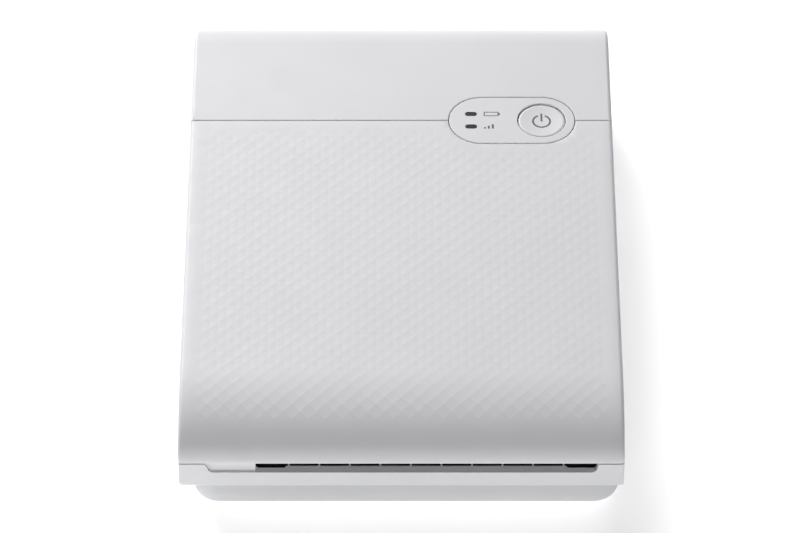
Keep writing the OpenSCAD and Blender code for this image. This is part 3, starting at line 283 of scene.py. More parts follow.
finish = {
    "case_white": moulding("case white", white["case"], 0.5),
    "tub_white_painted_shade": moulding("tub white with painted shade", white["tub"], 0.52),
    "cover_white": moulding("cover white", white["cover"], 0.46, depth=0.003),
    "panel_white": moulding("panel white", white["panel"], 0.4, depth=0.002),
    "mark_grey": moulding("mark grey", (0.1, 0.105, 0.12), 0.5, depth=0.002, spread=0.05),
    "window_grey": moulding("smoked window", (0.06, 0.065, 0.075), 0.16, depth=0.0005, spread=0.05),
    "black_plastic": moulding("black plastic", (0.018, 0.018, 0.021), 0.55, 0.2, 0.006, 0.08),
    "grey_plastic": moulding("grey plastic", (0.12, 0.12, 0.13), 0.52, 0.2, 0.006, 0.06),
    "steel": metal("rolled steel", (0.6, 0.6, 0.62), 0.3, (0.04, 1, 1)),
    "screw_steel": metal("dark zinc", (0.34, 0.34, 0.36), 0.38, (1, 1, 1)),
    "motor_steel": metal("plated can", (0.66, 0.66, 0.68), 0.26, (1, 0.06, 0.06)),
    "brass": metal("turned brass", (0.75, 0.55, 0.26), 0.24, (1, 0.1, 0.1)),
    "aluminium": metal("extruded aluminium", (0.74, 0.74, 0.76), 0.36, (0.03, 1, 1)),
    "ceramic": moulding("glazed ceramic", (0.62, 0.5, 0.34), 0.14, 0.5, 0.001, 0.05),
    "gear_nylon": naturalNylon("natural nylon", (0.74, 0.71, 0.62)),
    "spool_white": moulding("spool white", (0.7, 0.7, 0.7), 0.44),
    "ribbon_yellow": woundFilm("yellow film", ((0.75, 0.5, 0.03), (0.68, 0.42, 0.02)), 6),
    "ribbon_magenta": woundFilm("dyed film", ((0.42, 0.04, 0.2), (0.62, 0.3, 0.05)), 18),
    "board_green": circuitBoard("solder mask", (0.015, 0.12, 0.05), (0.05, 0.22, 0.1)),
    "battery_wrap": moulding("shrink wrap", (0.06, 0.085, 0.13), 0.3, 1.6, 0.02, 0.1),
    "rubber": softRubber("ground rubber", (0.03, 0.03, 0.033), 0.72),
    "foot_rubber": softRubber("foot rubber", (0.2, 0.2, 0.205), 0.78),
    "steel_shell": metal("plated shell", (0.62, 0.62, 0.64), 0.28, (1, 0.1, 1)),
}

carriedOver = {"mark_grey": "power_symbol", "ribbon_magenta": "ribbon_film"}   # shown as they are

for kind, name in carriedOver.items():
    mesh = nodes[name].data
    mesh.materials.clear()
    mesh.materials.append(finish[kind])
print("finishes made")


# bench tools

def clamp(value):
    return max(0.0, min(1.0, value))


def close(a, b, within=0.01):
    return abs(a - b) < within


def quarter(count, first=0):
    # the angles of a quarter turn in even steps
    return [pi / 2 * i / count for i in range(first, count + 1)]


def pickNothing():
    if bpy.context.object and bpy.context.object.mode != "OBJECT":
        bpy.ops.object.mode_set(mode="OBJECT")
    bpy.ops.object.select_all(action="DESELECT")


def only(obj):
    pickNothing()
    obj.select_set(True)
    bpy.context.view_layer.objects.active = obj
    return obj


def editAll(obj):
    only(obj)
    bpy.ops.object.mode_set(mode="EDIT")
    bpy.ops.mesh.select_all(action="SELECT")


def faceOutwards():
    bpy.ops.mesh.select_all(action="SELECT")
    bpy.ops.mesh.normals_make_consistent(inside=False)
    bpy.ops.object.mode_set(mode="OBJECT")


def copyMoved(obj, shift):
    # a copy with a mesh of its own, moved by a shift in mm
    twin = obj.copy()
    twin.data = obj.data.copy()
    scene.collection.objects.link(twin)
    for vert in twin.data.vertices:
        vert.co += Vector(shift) * mm
    return twin


def addBox(low, high):
    pickNothing()
    middle = [(a + b) / 2 * mm for a, b in zip(low, high)]
    bpy.ops.mesh.primitive_cube_add(size=1, location=middle)
    obj = bpy.context.object
    obj.scale = [(b - a) * mm for a, b in zip(low, high)]
    bpy.ops.object.transform_apply(location=True, rotation=True, scale=True)
    return obj


def layOut(axis, u, v, along):
    # a point of an outline seen along an axis
    if axis == "X":
        return Vector((along, u, v)) * mm
    if axis == "Y":
        return Vector((u, along, v)) * mm
    return Vector((u, v, along)) * mm


def addPrism(axis, outline, low, high):
    # an outline drawn as a filled ring and extruded along an axis
    pickNothing()
    bpy.ops.mesh.primitive_circle_add(vertices=len(outline), radius=1, fill_type="NGON")
    obj = bpy.context.object
    for vert, (u, v) in zip(obj.data.vertices, outline):
        vert.co = layOut(axis, u, v, low)
    editAll(obj)
    shift = layOut(axis, 0, 0, high - low)
    bpy.ops.mesh.extrude_region_move(TRANSFORM_OT_translate={"value": shift})
    faceOutwards()
    return obj


def addTurned(profile, middle, steps=64, axis="Z"):
    # a profile of (radius, height) points spun round an axis
    pickNothing()
    bpy.ops.mesh.primitive_circle_add(vertices=len(profile), radius=1, fill_type="NOTHING")
    obj = bpy.context.object
    for vert, (r, along) in zip(obj.data.vertices, profile):
        vert.co = layOut(axis, middle[0] + r, middle[1], along)
    editAll(obj)
    turn = (axis == "X", axis == "Y", axis == "Z")
    bpy.ops.mesh.spin(steps=steps, angle=2 * pi, center=layOut(axis, *middle, 0), axis=turn)
    bpy.ops.mesh.select_all(action="SELECT")
    bpy.ops.mesh.remove_doubles(threshold=weld["fine"])
    bpy.ops.mesh.delete_loose()
    faceOutwards()
    return obj


def addLoft(rows):
    # level rings of points, skinned from one to the next and closed at both ends
    around = len(rows[0][0])
    pickNothing()
    bpy.ops.mesh.primitive_grid_add(x_subdivisions=around, y_subdivisions=len(rows) - 1, size=2)
    obj = bpy.context.object
    for j, (outline, z) in enumerate(rows):
        for i in range(around + 1):
            u, v = outline[i % around]
            obj.data.vertices[j * (around + 1) + i].co = Vector((u, v, z)) * mm
    editAll(obj)
    bpy.ops.mesh.remove_doubles(threshold=weld["fine"])
    bpy.ops.mesh.select_all(action="SELECT")
    bpy.ops.mesh.fill_holes(sides=0)
    faceOutwards()
    return obj


def circlePoints(u, v, radius, count=40):
    angles = [2 * pi * i / count for i in range(count)]
    return [(u + radius * cos(a), v + radius * sin(a)) for a in angles]


def stadiumPoints(u, v, width, depth, count=24):
    r = depth / 2
    reach = width / 2 - r
    angles = [-pi / 2 + pi * i / count for i in range(count + 1)]
    right = [(u + reach + r * cos(a), v + r * sin(a)) for a in angles]
    left = [(u - reach - r * cos(a), v - r * sin(a)) for a in angles]
    return right + left


def carve(obj, tool, how="DIFFERENCE"):
    only(obj)
    cut = obj.modifiers.new("carve", "BOOLEAN")
    cut.operation = how
    cut.solver = "EXACT"
    cut.object = tool
    bpy.ops.object.modifier_apply(modifier=cut.name)
    spare = tool.data
    bpy.data.objects.remove(tool)
    bpy.data.meshes.remove(spare)
    return obj


def pickEdges(obj, wanted):
    only(obj)
    bpy.ops.object.mode_set(mode="EDIT")
    bpy.ops.mesh.select_mode(type="EDGE")
    bpy.ops.mesh.select_all(action="DESELECT")
    mesh = bmesh.from_edit_mesh(obj.data)
    for edge in mesh.edges:
        if wanted(edge.verts[0].co / mm, edge.verts[1].co / mm):
            edge.select_set(True)
    bmesh.update_edit_mesh(obj.data)


def roundEdges(obj, wanted, radius, segments=4):
    pickEdges(obj, wanted)
    bpy.ops.mesh.bevel(offset=radius * mm, segments=segments, profile=0.5, affect="EDGES")
    bpy.ops.object.mode_set(mode="OBJECT")
    return obj


def soften(obj, width, angle=42, segments=2):
    only(obj)
    bevel = obj.modifiers.new("soften", "BEVEL")
    bevel.width = width * mm
    bevel.segments = segments
    bevel.limit_method = "ANGLE"
    bevel.angle_limit = radians(angle)
    bpy.ops.object.modifier_apply(modifier=bevel.name)
    return obj


def tidyMesh(obj, smooth=32, even=True):
    editAll(obj)
    bpy.ops.mesh.remove_doubles(threshold=weld["fine"])
    bpy.ops.mesh.dissolve_degenerate(threshold=weld["fine"])
    bpy.ops.mesh.delete_loose()
    bpy.ops.object.mode_set(mode="OBJECT")
    bpy.ops.object.shade_smooth_by_angle(angle=radians(smooth))
    if even:
        weigh = obj.modifiers.new("even shading", "WEIGHTED_NORMAL")
        weigh.keep_sharp = True
        bpy.ops.object.modifier_apply(modifier=weigh.name)
    return obj


def finishPiece(obj, name, body, kind, *replaced):
    obj.name = name
    obj.data.name = name
    obj.data.materials.clear()
    obj.data.materials.append(finish[kind])
    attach(obj, body)
    if replaced:
        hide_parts(*replaced)
    return obj


# the two covers

def sideView(start, bend, run, rise):
    # point and normal at an arc length: flat from start to bend, then a quarter ellipse, then down
    heading = 1 if bend > start else -1
    flat = abs(bend - start)
    reach = [0.0]
    turns = 720                   # steps in which the ellipse is measured
    for i in range(1, turns + 1):
        a, b = i * pi / 2 / turns, (i - 1) * pi / 2 / turns
        reach.append(reach[-1] + hypot(run * (sin(a) - sin(b)), rise * (cos(a) - cos(b))))

    def at(s):
        if s <= flat:
            return Vector((start + heading * s, top)), Vector((0, 1))
        left = s - flat
        if left >= reach[-1]:
            below = Vector((bend + heading * run, top - rise - left + reach[-1]))
            return below, Vector((heading, 0))
        k = bisect_left(reach, left)
        share = (left - reach[k - 1]) / (reach[k] - reach[k - 1])
        a = (k - 1 + share) * pi / 2 / turns
        point = Vector((bend + heading * run * sin(a), top - rise + rise * cos(a)))
        return point, Vector((heading * sin(a) / run, cos(a) / rise)).normalized()

    return at, flat + reach[-1]


rimSteps = 6                      # faces across the rounded edge at each side
rimColumns = rimSteps + 2         # columns of points from the foot of a wall to the top


def makeSkin(at, rows, tops, low, roundness, dent):
    # a grid wrapped over a side view: top, rounded edges and both side walls, then closed below
    sweep = quarter(rimSteps)
    columns = [("foot", -1, 0)] + [("round", -1, a) for a in reversed(sweep)]
    columns += [("top", 0, x) for x in tops]
    columns += [("round", 1, a) for a in sweep] + [("foot", 1, 0)]
    across = len(columns)
    pickNothing()
    bpy.ops.mesh.primitive_grid_add(x_subdivisions=across - 1, y_subdivisions=len(rows) - 1, size=2)
    obj = bpy.context.object
    for j, s in enumerate(rows):
        point, normal = at(s)
        r = roundness(s)
        for i, (kind, side, value) in enumerate(columns):
            if kind == "top":
                x, place = value, point - normal * dent(i - rimColumns, j)
            elif kind == "round":
                x, place = side * (half - r + r * sin(value)), point - normal * r * (1 - cos(value))
            else:
                x, place = side * half, Vector(((point - normal * r).x, low))
            obj.data.vertices[j * across + i].co = Vector((x, place.x, place.y)) * mm
    firstY = at(rows[0])[0].x
    pickEdges(obj, lambda a, b: close(a.y, firstY, 1e-3) and close(b.y, firstY, 1e-3))
    bpy.ops.mesh.edge_face_add()
    bpy.ops.mesh.select_all(action="SELECT")
    bpy.ops.mesh.remove_doubles(threshold=weld["skin"])
    bpy.ops.mesh.select_all(action="DESELECT")
    bpy.ops.mesh.select_non_manifold()
    bpy.ops.mesh.edge_face_add()
    faceOutwards()
    return obj


def splitDiamonds(obj, across, firstRow, lastRow, firstColumn, lastColumn):
    # each lattice cell is split along the edge between two diamonds, from one raised corner
    # to the other
    def raised(index):
        row, column = divmod(index, across)
        return (row - firstRow + column - firstColumn) % 2 == 1

    for startsRaised, method in ((True, "FIXED"), (False, "FIXED_ALTERNATE")):
        only(obj)
        bpy.ops.object.mode_set(mode="EDIT")
        bpy.ops.mesh.select_mode(type="FACE")
        bpy.ops.mesh.select_all(action="DESELECT")
        mesh = bmesh.from_edit_mesh(obj.data)
        for face in mesh.faces:
            corners = [vert.index for vert in face.verts]
            row, column = divmod(min(corners), across)
            inside = firstRow <= row < lastRow and firstColumn <= column < lastColumn
            if inside and len(corners) == 4 and raised(corners[0]) == startsRaised:
                face.select_set(True)
        bmesh.update_edit_mesh(obj.data)
        bpy.ops.mesh.quads_convert_to_tris(quad_method=method, ngon_method="BEAUTY")
        bpy.ops.object.mode_set(mode="OBJECT")


panel = {"x": 26.8, "w": 30.3, "d": 15.9, "gap": 0.25, "rim": 0.45, "chamfer": 0.22, "grow": 0.08,
         "deep": 4, "land": 1, "recess": 4.5}
seam = {"gap": 0.3, "slant": 1.1, "drop": 3.8, "edge": 0.16, "past": 20, "far": 30}
runs = {"nose": 20.2, "tail": 11.0}   # lengths of the covers' rounded ends
noseY = frontY + runs["nose"]
tailY = rearY - runs["tail"]
rise = top - edgeZ
cutterFoot = 15                   # height that the covers' cutters reach down to


def seamSide(offset, farY):
    # what lies beyond the slanted seam, on the side of farY; the edge it leaves is rounded
    y0 = seamY + offset
    foot = y0 - seam["slant"] * seam["drop"]
    away = -1 if farY > seamY else 1
    lean = hypot(seam["slant"], 1)
    corner = Vector((y0, top))
    first = Vector((y0 + away * seam["edge"], top))
    last = Vector((y0 - seam["edge"] * seam["slant"] / lean, top - seam["edge"] / lean))
    arc = [first.lerp(corner, k).lerp(corner.lerp(last, k), k) for k in (0, 0.25, 0.5, 0.75, 1)]
    line = [(first.x, top + over)] + [(p.x, p.y) for p in arc]
    line += [(foot, top - seam["drop"]), (foot, cutterFoot)]
    return line + [(farY, cutterFoot), (farY, top + over)]


def pillPoints(grow):
    return stadiumPoints(panel["x"], seamY, panel["w"] + 2 * grow, panel["d"] + 2 * grow)


def pillDistance(x, y):
    reach = panel["w"] / 2 - panel["d"] / 2
    return hypot(max(abs(x - panel["x"]) - reach, 0), y - seamY) - panel["d"] / 2


def pillCutter():
    # the panel's opening, with the cover's rim rounded over
    gap, c = panel["gap"], panel["chamfer"]
    rows = [(pillPoints(gap), top - panel["deep"])]
    rows += [(pillPoints(gap + c - c * cos(a)), top - c + c * sin(a)) for a in quarter(4)]
    return addLoft(rows + [(pillPoints(gap + c), top + over)])


relief = {"step": 1.935, "first": 2.6, "rows": 49, "columns": 50, "depth": 0.034, "noseDepth": 0.05,
          "noseFade": 6, "bow": 0.55, "margin": 1.2, "fade": 3.2, "pillClear": 1.8}
paperShell = {
    "edge": 1.0, "tighter": 0.3, "tucked": [-6.0, -1.5], "noseRows": 8,
    "rim": 0.25, "rimEnd": 4, "slack": 0.2,
    "ribDeep": 0.8, "ribThick": 0.8, "ribSides": 2.2, "ribEnds": (3, 12),
    "crossY": (-44, -24, -4), "longX": (-40, -14, 12, 38),
    "catchY": (-22.25, -18.45), "catchZ": 23.2,
}
hookX = (-48.9, -47.5)            # where the slider's hook meets the cover's catch


def makePaperCover():
    at, total = sideView(seamY, noseY, runs["nose"], rise)
    step = relief["step"]
    flat = seamY - noseY
    lattice = [relief["first"] + step * k for k in range(relief["rows"] + 1)]
    count = paperShell["noseRows"]
    noseEnd = [lattice[-1] + (total - lattice[-1]) * k / count for k in range(1, count + 1)]
    rows = paperShell["tucked"] + lattice + noseEnd
    skipped = len(paperShell["tucked"])
    first = -step * relief["columns"] / 2
    tops = [first + step * k for k in range(relief["columns"] + 1)]
    edge = half - paperShell["edge"]

    def fade(x, s):
        point = at(min(s, total))[0]
        gaps = [edge - relief["margin"] - abs(x), s - relief["first"], lattice[-1] - s]
        gaps.append(pillDistance(x, point.x) - relief["pillClear"])
        share = clamp(min(gaps) / relief["fade"])
        return share * share * (3 - 2 * share)

    def dent(i, j):
        k = j - skipped
        if not 0 < k < relief["rows"] or not 0 < i < relief["columns"] or (i + k) % 2:
            return 0.0
        s = lattice[k]
        point, normal = at(s)
        chord = (at(s - step)[0] + at(s + step)[0]) / 2
        onNose = clamp((s - flat) / relief["noseFade"])
        depth = relief["depth"] + (relief["noseDepth"] - relief["depth"]) * onNose
        return ((point - chord).dot(normal) * relief["bow"] + depth) * fade(tops[i], s)

    def roundness(s):
        share = clamp((s - flat) / (total - flat))
        return paperShell["edge"] - share * share * paperShell["tighter"]

    obj = makeSkin(at, rows, tops, edgeZ, roundness, dent)
    splitDiamonds(obj, len(tops) + 2 * rimColumns, skipped, skipped + relief["rows"],
                  rimColumns, rimColumns + relief["columns"])

    innerNose = [(noseY - (runs["nose"] - wall) * sin(a), edgeZ + (rise - wall) * cos(a))
                 for a in quarter(20)]
    roomY = seamY + seam["past"]
    room = [(roomY, cutterFoot), (roomY, top - wall)] + innerNose + [(frontY + wall, cutterFoot)]
    carve(obj, addPrism("X", room, -innerX, innerX))
    beyond = seamSide(-seam["gap"] / 2, seamY + seam["far"])
    carve(obj, addPrism("X", beyond, -half - 2 * over, half + 2 * over))
    carve(obj, pillCutter())
    land = pillPoints(panel["gap"] + panel["land"])
    carve(obj, addPrism("Z", land, top - panel["recess"], top - panel["rim"]))

    def lowerRim(*ends):
        return all(close(p.z, edgeZ) and p.y < seamY - paperShell["rimEnd"]
                   and (abs(p.x) > innerX + paperShell["slack"]
                        or p.y < frontY + wall - paperShell["slack"]) for p in ends)

    roundEdges(obj, lowerRim, paperShell["rim"], 3)
    ribHigh = top - wall + 0.1
    ribLow = ribHigh - paperShell["ribDeep"]
    t = paperShell["ribThick"] / 2
    ribX = innerX - paperShell["ribSides"]
    ribY = (noseY + paperShell["ribEnds"][0], seamY - paperShell["ribEnds"][1])
    inner = [((-ribX, y - t, ribLow), (ribX, y + t, ribHigh)) for y in paperShell["crossY"]]
    inner += [((x - t, ribY[0], ribLow), (x + t, ribY[1], ribHigh)) for x in paperShell["longX"]]
    catchY = paperShell["catchY"]
    inner.append(((hookX[0], catchY[0], paperShell["catchZ"]), (hookX[1], catchY[1], ribHigh)))
    for low, high in inner:
        carve(obj, addBox(low, high), "UNION")
    tidyMesh(obj, even=False)
    # the rims between the diamonds stay crisp, and the facets of the flat part flat
    corners = [vert.co / mm for vert in obj.data.vertices]
    for rim in obj.data.edges:
        run = corners[rim.vertices[0]] - corners[rim.vertices[1]]
        if close(abs(run.x), step) and hypot(run.y, run.z) > step * 0.8:
            rim.use_edge_sharp = True
    for face in obj.data.polygons:
        level = face.normal.z > 0.9 and abs(face.center.x) < -first * mm
        if level and len(face.vertices) == 3 and face.center.y > noseY * mm:
            face.use_smooth = False
    return finishPiece(obj, "paper_cover_shell", "cover", "cover_white", "paper_cover")


rearShell = {
    "edge": 1.0, "wider": 0.98, "tucked": [-12.0, 0.0], "flatRows": 6, "tailRows": 22,
    "tailPast": 0.2, "reach": 50.05, "columns": 24, "pinBack": 4, "pinDrop": 3.8, "pinR": 0.76,
    "bossR": 1.7, "bossX": (48.8, innerX + 0.05), "bracketX": (46.2, 47.0), "bite": 0.05,
}


def makeRearCover():
    at, total = sideView(seamY, tailY, runs["tail"], rise)
    flat = tailY - seamY
    flatRows, tailRows, columns = (rearShell[k] for k in ("flatRows", "tailRows", "columns"))
    rows = rearShell["tucked"] + [flat * k / flatRows for k in range(1, flatRows)]
    rows += [flat + (total - flat) * k / tailRows for k in range(tailRows + 1)]
    rows.append(total + rearShell["tailPast"])
    reach = rearShell["reach"]
    tops = [-reach + 2 * reach * k / columns for k in range(1, columns)]

    def roundness(s):
        share = clamp((s - flat) / (total - flat))
        return rearShell["edge"] + share * share * rearShell["wider"]

    obj = makeSkin(at, rows, tops, rearLow.z, roundness, lambda i, j: 0.0)
    innerTail = [(tailY + (runs["tail"] - wall) * sin(a), edgeZ + (rise - wall) * cos(a))
                 for a in quarter(16)]
    roomY = seamY - seam["past"]
    room = [(roomY, cutterFoot), (roomY, top - wall)] + innerTail + [(rearY - wall, cutterFoot)]
    carve(obj, addPrism("X", room, -innerX, innerX))
    beyond = seamSide(seam["gap"] / 2, seamY - seam["far"])
    carve(obj, addPrism("X", beyond, -half - 2 * over, half + 2 * over))
    y, z, r = seamY + rearShell["pinBack"], top - rearShell["pinDrop"], rearShell["bossR"]
    for side in (-1, 1):
        for pair in (rearShell["bossX"], rearShell["bracketX"]):
            a, b = sorted(side * x for x in pair)
            carve(obj, addPrism("X", circlePoints(y, z, r), a, b), "UNION")
        bracket = addBox((a, y - r, z), (b, y + r, top - wall + rearShell["bite"]))
        carve(obj, bracket, "UNION")
    pinX = innerX + wall / 2
    carve(obj, addPrism("X", circlePoints(y, z, rearShell["pinR"], 24), -pinX, pinX))
    carve(obj, pillCutter())
    tidyMesh(obj)
    return finishPiece(obj, "rear_cover_shell", "root", "cover_white", "rear_cover")


paperCover = makePaperCover()
print("paper cover made,", len(paperCover.data.polygons), "faces")
rearCover = makeRearCover()
print("rear cover made,", len(rearCover.data.polygons), "faces")


# middle frame with the paper slot

screwPlaces = ((-43.2, -60.0), (44.0, -60.0), (-43.2, 46.0), (46.3, -12.0))   # front ones first
slot = {"x0": -33.4, "x1": 44.8, "blind": 11.6, "lip": 19.2, "deck": 18.6, "bend": 0.7,
        "flare": (0.7, 0.3), "pocketW": 7.2, "pocketD": 0.6, "slant": 0.65, "ribs": 10,
        "pitch": 7.0, "ribW": 0.42, "ribL": 0.6, "ribTop": 0.15, "face": 0.6, "faceBack": 1.2,
        "faceIn": 0.5, "fall": 0.35, "ledge": 0.3}
band = {
    "frontR": 0.7, "rearR": 2.0, "bottomR": 0.6, "edge": 0.14, "floor": 1.2, "shelf": 6,
    "engine": (0, 46.2, -4.2), "railW": 2, "railY": (5.65, -6), "bite": 0.02,
    "bossR": 2.6, "bossHigh": 17.2, "boreR": 0.8, "boreHigh": 16.4,
    "openings": [
        ((44.1, 22.3, 3.1), (half + over, 68.0, 19.6)),                              # side door
        ((-45.8, rearY - wall - over, 18.0), (-36.2, rearY + over, frameHigh.z + over)),   # socket
        ((-half - over, -32.45, 17.7), (-half + 0.8, -21.35, 20.5)),                 # slider
        ((-half, -31.15, 18.5), (-innerX + over, -24.25, 19.7)),                     # its stem
    ],
}


def makeMiddleFrame():
    low, high = frameLow.z, frameHigh.z
    past = 2 * over
    obj = addBox((-half, frontY, low), (half, rearY, high))

    def upright(side):
        return lambda a, b: close(a.x, b.x) and close(a.y, b.y) and a.y * side > 0

    roundEdges(obj, upright(-1), band["frontR"], 6)
    roundEdges(obj, upright(1), band["rearR"], 10)
    roundEdges(obj, lambda a, b: close(a.z, low) and close(b.z, low), band["bottomR"], 5)
    shelf, floorLow = band["shelf"], low + band["floor"]
    engineX, engineY = band["engine"][:2], band["engine"][2]
    for start, end in (
        ((-innerX, frontY + wall, floorLow), (innerX, rearY - wall, high + past)),
        ((-half + shelf, frontY + shelf, low - past), (half - shelf, rearY - shelf, high + past)),
        ((engineX[0], engineY, low - past), (engineX[1], rearY - shelf, high + past)),
    ):
        carve(obj, addBox(start, end))

    # the slot: a dip in the front wall, its slanted ledge and a pocket at each end
    left, right = slot["x0"] - slot["blind"], slot["x1"]
    lip, r, flare = slot["lip"], slot["bend"], slot["flare"]
    inner = frontY + wall
    dip = [(right + flare[1], high + past), (right + flare[1], high), (right, lip + r)]
    dip += [(right - r + r * cos(a), lip + r - r * sin(a)) for a in quarter(6)]
    dip += [(left + flare[0] + r - r * sin(a), lip + r - r * cos(a)) for a in quarter(6)]
    dip += [(left, high), (left, high + past)]
    carve(obj, addPrism("Y", dip, frontY - over, inner + 0.02))
    ledgeLow, ledgeY = lip - slot["fall"], inner - slot["ledge"]
    ledge = [(frontY - over, ledgeLow), (frontY, ledgeLow), (ledgeY, lip + 0.01),
             (ledgeY, lip + over), (frontY - over, lip + over)]
    carve(obj, addPrism("X", ledge, left + 2 * flare[0], right - r))
    slant, back = slot["slant"], inner - slot["pocketD"]
    for near, far, side in ((slot["x0"] + slot["pocketW"], slot["x0"], -1),
                            (right - slot["pocketW"], right, 1)):
        plan = [(far, inner + 0.1), (far, inner - 0.05), (far - side * slant, back),
                (near + side * slant, back), (near, inner + 0.1)]
        carve(obj, addPrism("Z", plan, slot["deck"], high + over))

    # the blind face left of the slot and the guide ribs
    deck = slot["deck"] + 0.05
    added = [((left - slot["faceIn"], frontY + slot["face"], deck),
              (slot["x0"], inner + slot["faceBack"], high - 0.01))]
    for i in range(slot["ribs"]):
        x = (slot["x0"] + slot["x1"]) / 2 + (i - (slot["ribs"] - 1) / 2) * slot["pitch"]
        added.append(((x - slot["ribW"] / 2, inner - 0.05, deck),
                      (x + slot["ribW"] / 2, inner + slot["ribL"], lip + slot["ribTop"])))
    for side in (-1, 1):
        a, b = sorted((side * (innerX + band["bite"]), side * (innerX - band["railW"])))
        added.append(((a, frontY + band["railY"][0], floorLow - 0.01),
                      (b, band["railY"][1], slot["deck"] - band["floor"])))
    for start, end in added:
        carve(obj, addBox(start, end), "UNION")
    for x, y in screwPlaces:
        boss = circlePoints(x, y, band["bossR"], 32)
        carve(obj, addPrism("Z", boss, low, band["bossHigh"]), "UNION")
        bore = circlePoints(x, y, band["boreR"], 20)
        carve(obj, addPrism("Z", bore, low - over, band["boreHigh"]))
    for start, end in band["openings"]:
        carve(obj, addBox(start, end))
    soften(obj, band["edge"], 40, 2)
    tidyMesh(obj)
    return finishPiece(obj, "middle_frame_band", "root", "case_white", "middle_frame")


makeMiddleFrame()
print("middle frame made")


# control panel

button = {"x": 34.0, "d": 11.7, "gap": 0.18, "face": 30.85, "dish": 0.24, "edge": 0.45,
          "collarR": 6.6, "collarZ": 28.2, "collarT": 0.8, "stemR": 1.5, "wellRim": 0.18,
          "ring": 2.3, "line": 0.45, "gapW": 0.55, "gapH": 1.3, "barH": 1.16}
lens = {"x": 16.9, "w": 2.85, "d": 1.4, "pitch": 4.4, "sunk": 0.03, "edge": 0.15, "gap": 0.1}
plate = {"rim": 0.2, "under": 0.4, "flange": 1.4, "flangeZ": (0.8, 0.05), "notch": 0.8,
         "postIn": 1.8, "postBack": 2.4, "postR": 0.8, "postLow": 26.2, "collarGap": 0.3}


def wellCutter():
    # the button's well, its rim rounded over
    r, c = button["d"] / 2, button["wellRim"]
    profile = [(0, 20), (r, 20)]
    profile += [(r + c - c * cos(a), top - c + c * sin(a)) for a in quarter(4)]
    profile += [(r + c, top + over), (0, top + over)]
    return addTurned(profile, (button["x"], seamY), 96)


def makeBezel():
    low = top - wall
    rim, grow = plate["rim"], panel["grow"]
    rows = [(pillPoints(grow), low - plate["under"])]
    rows += [(pillPoints(grow + rim * cos(a) - rim), top - rim + rim * sin(a)) for a in quarter(4)]
    obj = addLoft(rows)
    flange = addLoft([(pillPoints(plate["flange"]), low - z) for z in plate["flangeZ"]])
    carve(flange, addBox((0, seamY - 12, low - 2 * over),
                         (half, seamY + plate["notch"], low + over)))
    carve(obj, flange, "UNION")
    for side in (-1, 1):
        x = panel["x"] + side * (panel["w"] / 2 - plate["postIn"])
        post = circlePoints(x, seamY + plate["postBack"], plate["postR"], 24)
        carve(obj, addPrism("Z", post, plate["postLow"], low + 0.1), "UNION")
    carve(obj, wellCutter())
    collar = circlePoints(button["x"], seamY, button["collarR"] + plate["collarGap"], 72)
    carve(obj, addPrism("Z", collar, 19, low - 0.02))
    for side in (-1, 1):
        hole = stadiumPoints(lens["x"], seamY + side * lens["pitch"] / 2,
                             lens["w"] + lens["gap"], lens["d"] + lens["gap"], 12)
        carve(obj, addPrism("Z", hole, 20, top + over))
    tidyMesh(obj)
    return finishPiece(obj, "control_bezel_plate", "root", "panel_white", "control_bezel")


def makeButton():
    # dished cap with a rounded rim, a collar under the panel and a stem on the switch
    capR = button["d"] / 2 - button["gap"]
    face, edge, line = button["face"], button["edge"], button["line"]
    collarR, stemR = button["collarR"], button["stemR"]
    collarLow, collarHigh = button["collarZ"], button["collarZ"] + button["collarT"]
    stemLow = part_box("power_button")[0].z / mm
    profile = [(0, face - button["dish"])]
    profile += [(capR * k / 8, face - button["dish"] * (1 - (k / 8) ** 2)) for k in range(1, 8)]
    profile += [(capR - edge + edge * sin(a), face - edge + edge * cos(a) - 0.01)
                for a in quarter(6, 1)]
    profile += [(capR, collarHigh), (collarR, collarHigh), (collarR, collarLow),
                (stemR, collarLow), (stemR, stemLow), (0, stemLow)]
    x, ring = button["x"], button["ring"]
    obj = addTurned(profile, (x, seamY), 96)
    # the power symbol is sunk in: a ring with a gap and a bar through it
    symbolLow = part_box("power_symbol")[0].z / mm
    groove = addPrism("Z", circlePoints(x, seamY, ring, 64), symbolLow, face + over)
    carve(groove, addPrism("Z", circlePoints(x, seamY, ring - line, 64), 20, top + 2 * over))
    gapW, gapY = ring * button["gapW"], seamY + ring * button["gapH"]
    gap = [(x, seamY), (x + gapW, gapY), (x - gapW, gapY)]
    carve(groove, addPrism("Z", gap, 20, top + 2 * over))
    carve(obj, groove)
    carve(obj, addBox((x - line / 2, seamY, symbolLow),
                      (x + line / 2, seamY + ring * button["barH"], face + over)))
    tidyMesh(obj)
    return finishPiece(obj, "power_button_cap", "button", "panel_white", "power_button")


def makeWindows():
    # one window, and its copy in front of it
    y = seamY + lens["pitch"] / 2
    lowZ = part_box("upper_status_window")[0].z / mm
    outline = stadiumPoints(lens["x"], y, lens["w"], lens["d"], 14)
    upper = addPrism("Z", outline, lowZ, top - lens["sunk"])
    roundEdges(upper, lambda a, b: min(a.z, b.z) > top - 0.05, lens["edge"], 3)
    tidyMesh(upper)
    lower = copyMoved(upper, (0, -lens["pitch"], 0))
    for obj, node in ((upper, "upper_status_window"), (lower, "lower_status_window")):
        finishPiece(obj, node + "_lens", "root", "window_grey", node)


mark = {"x": 20.0, "w": 3.6, "h": 1.5, "line": 0.26, "tipH": 0.35, "tipW": 0.32, "bar": 0.5,
        "pitch": 0.95, "foot": 0.75, "grow": 0.5, "deep": 0.15, "sunk": 0.01, "pocket": 0.05}


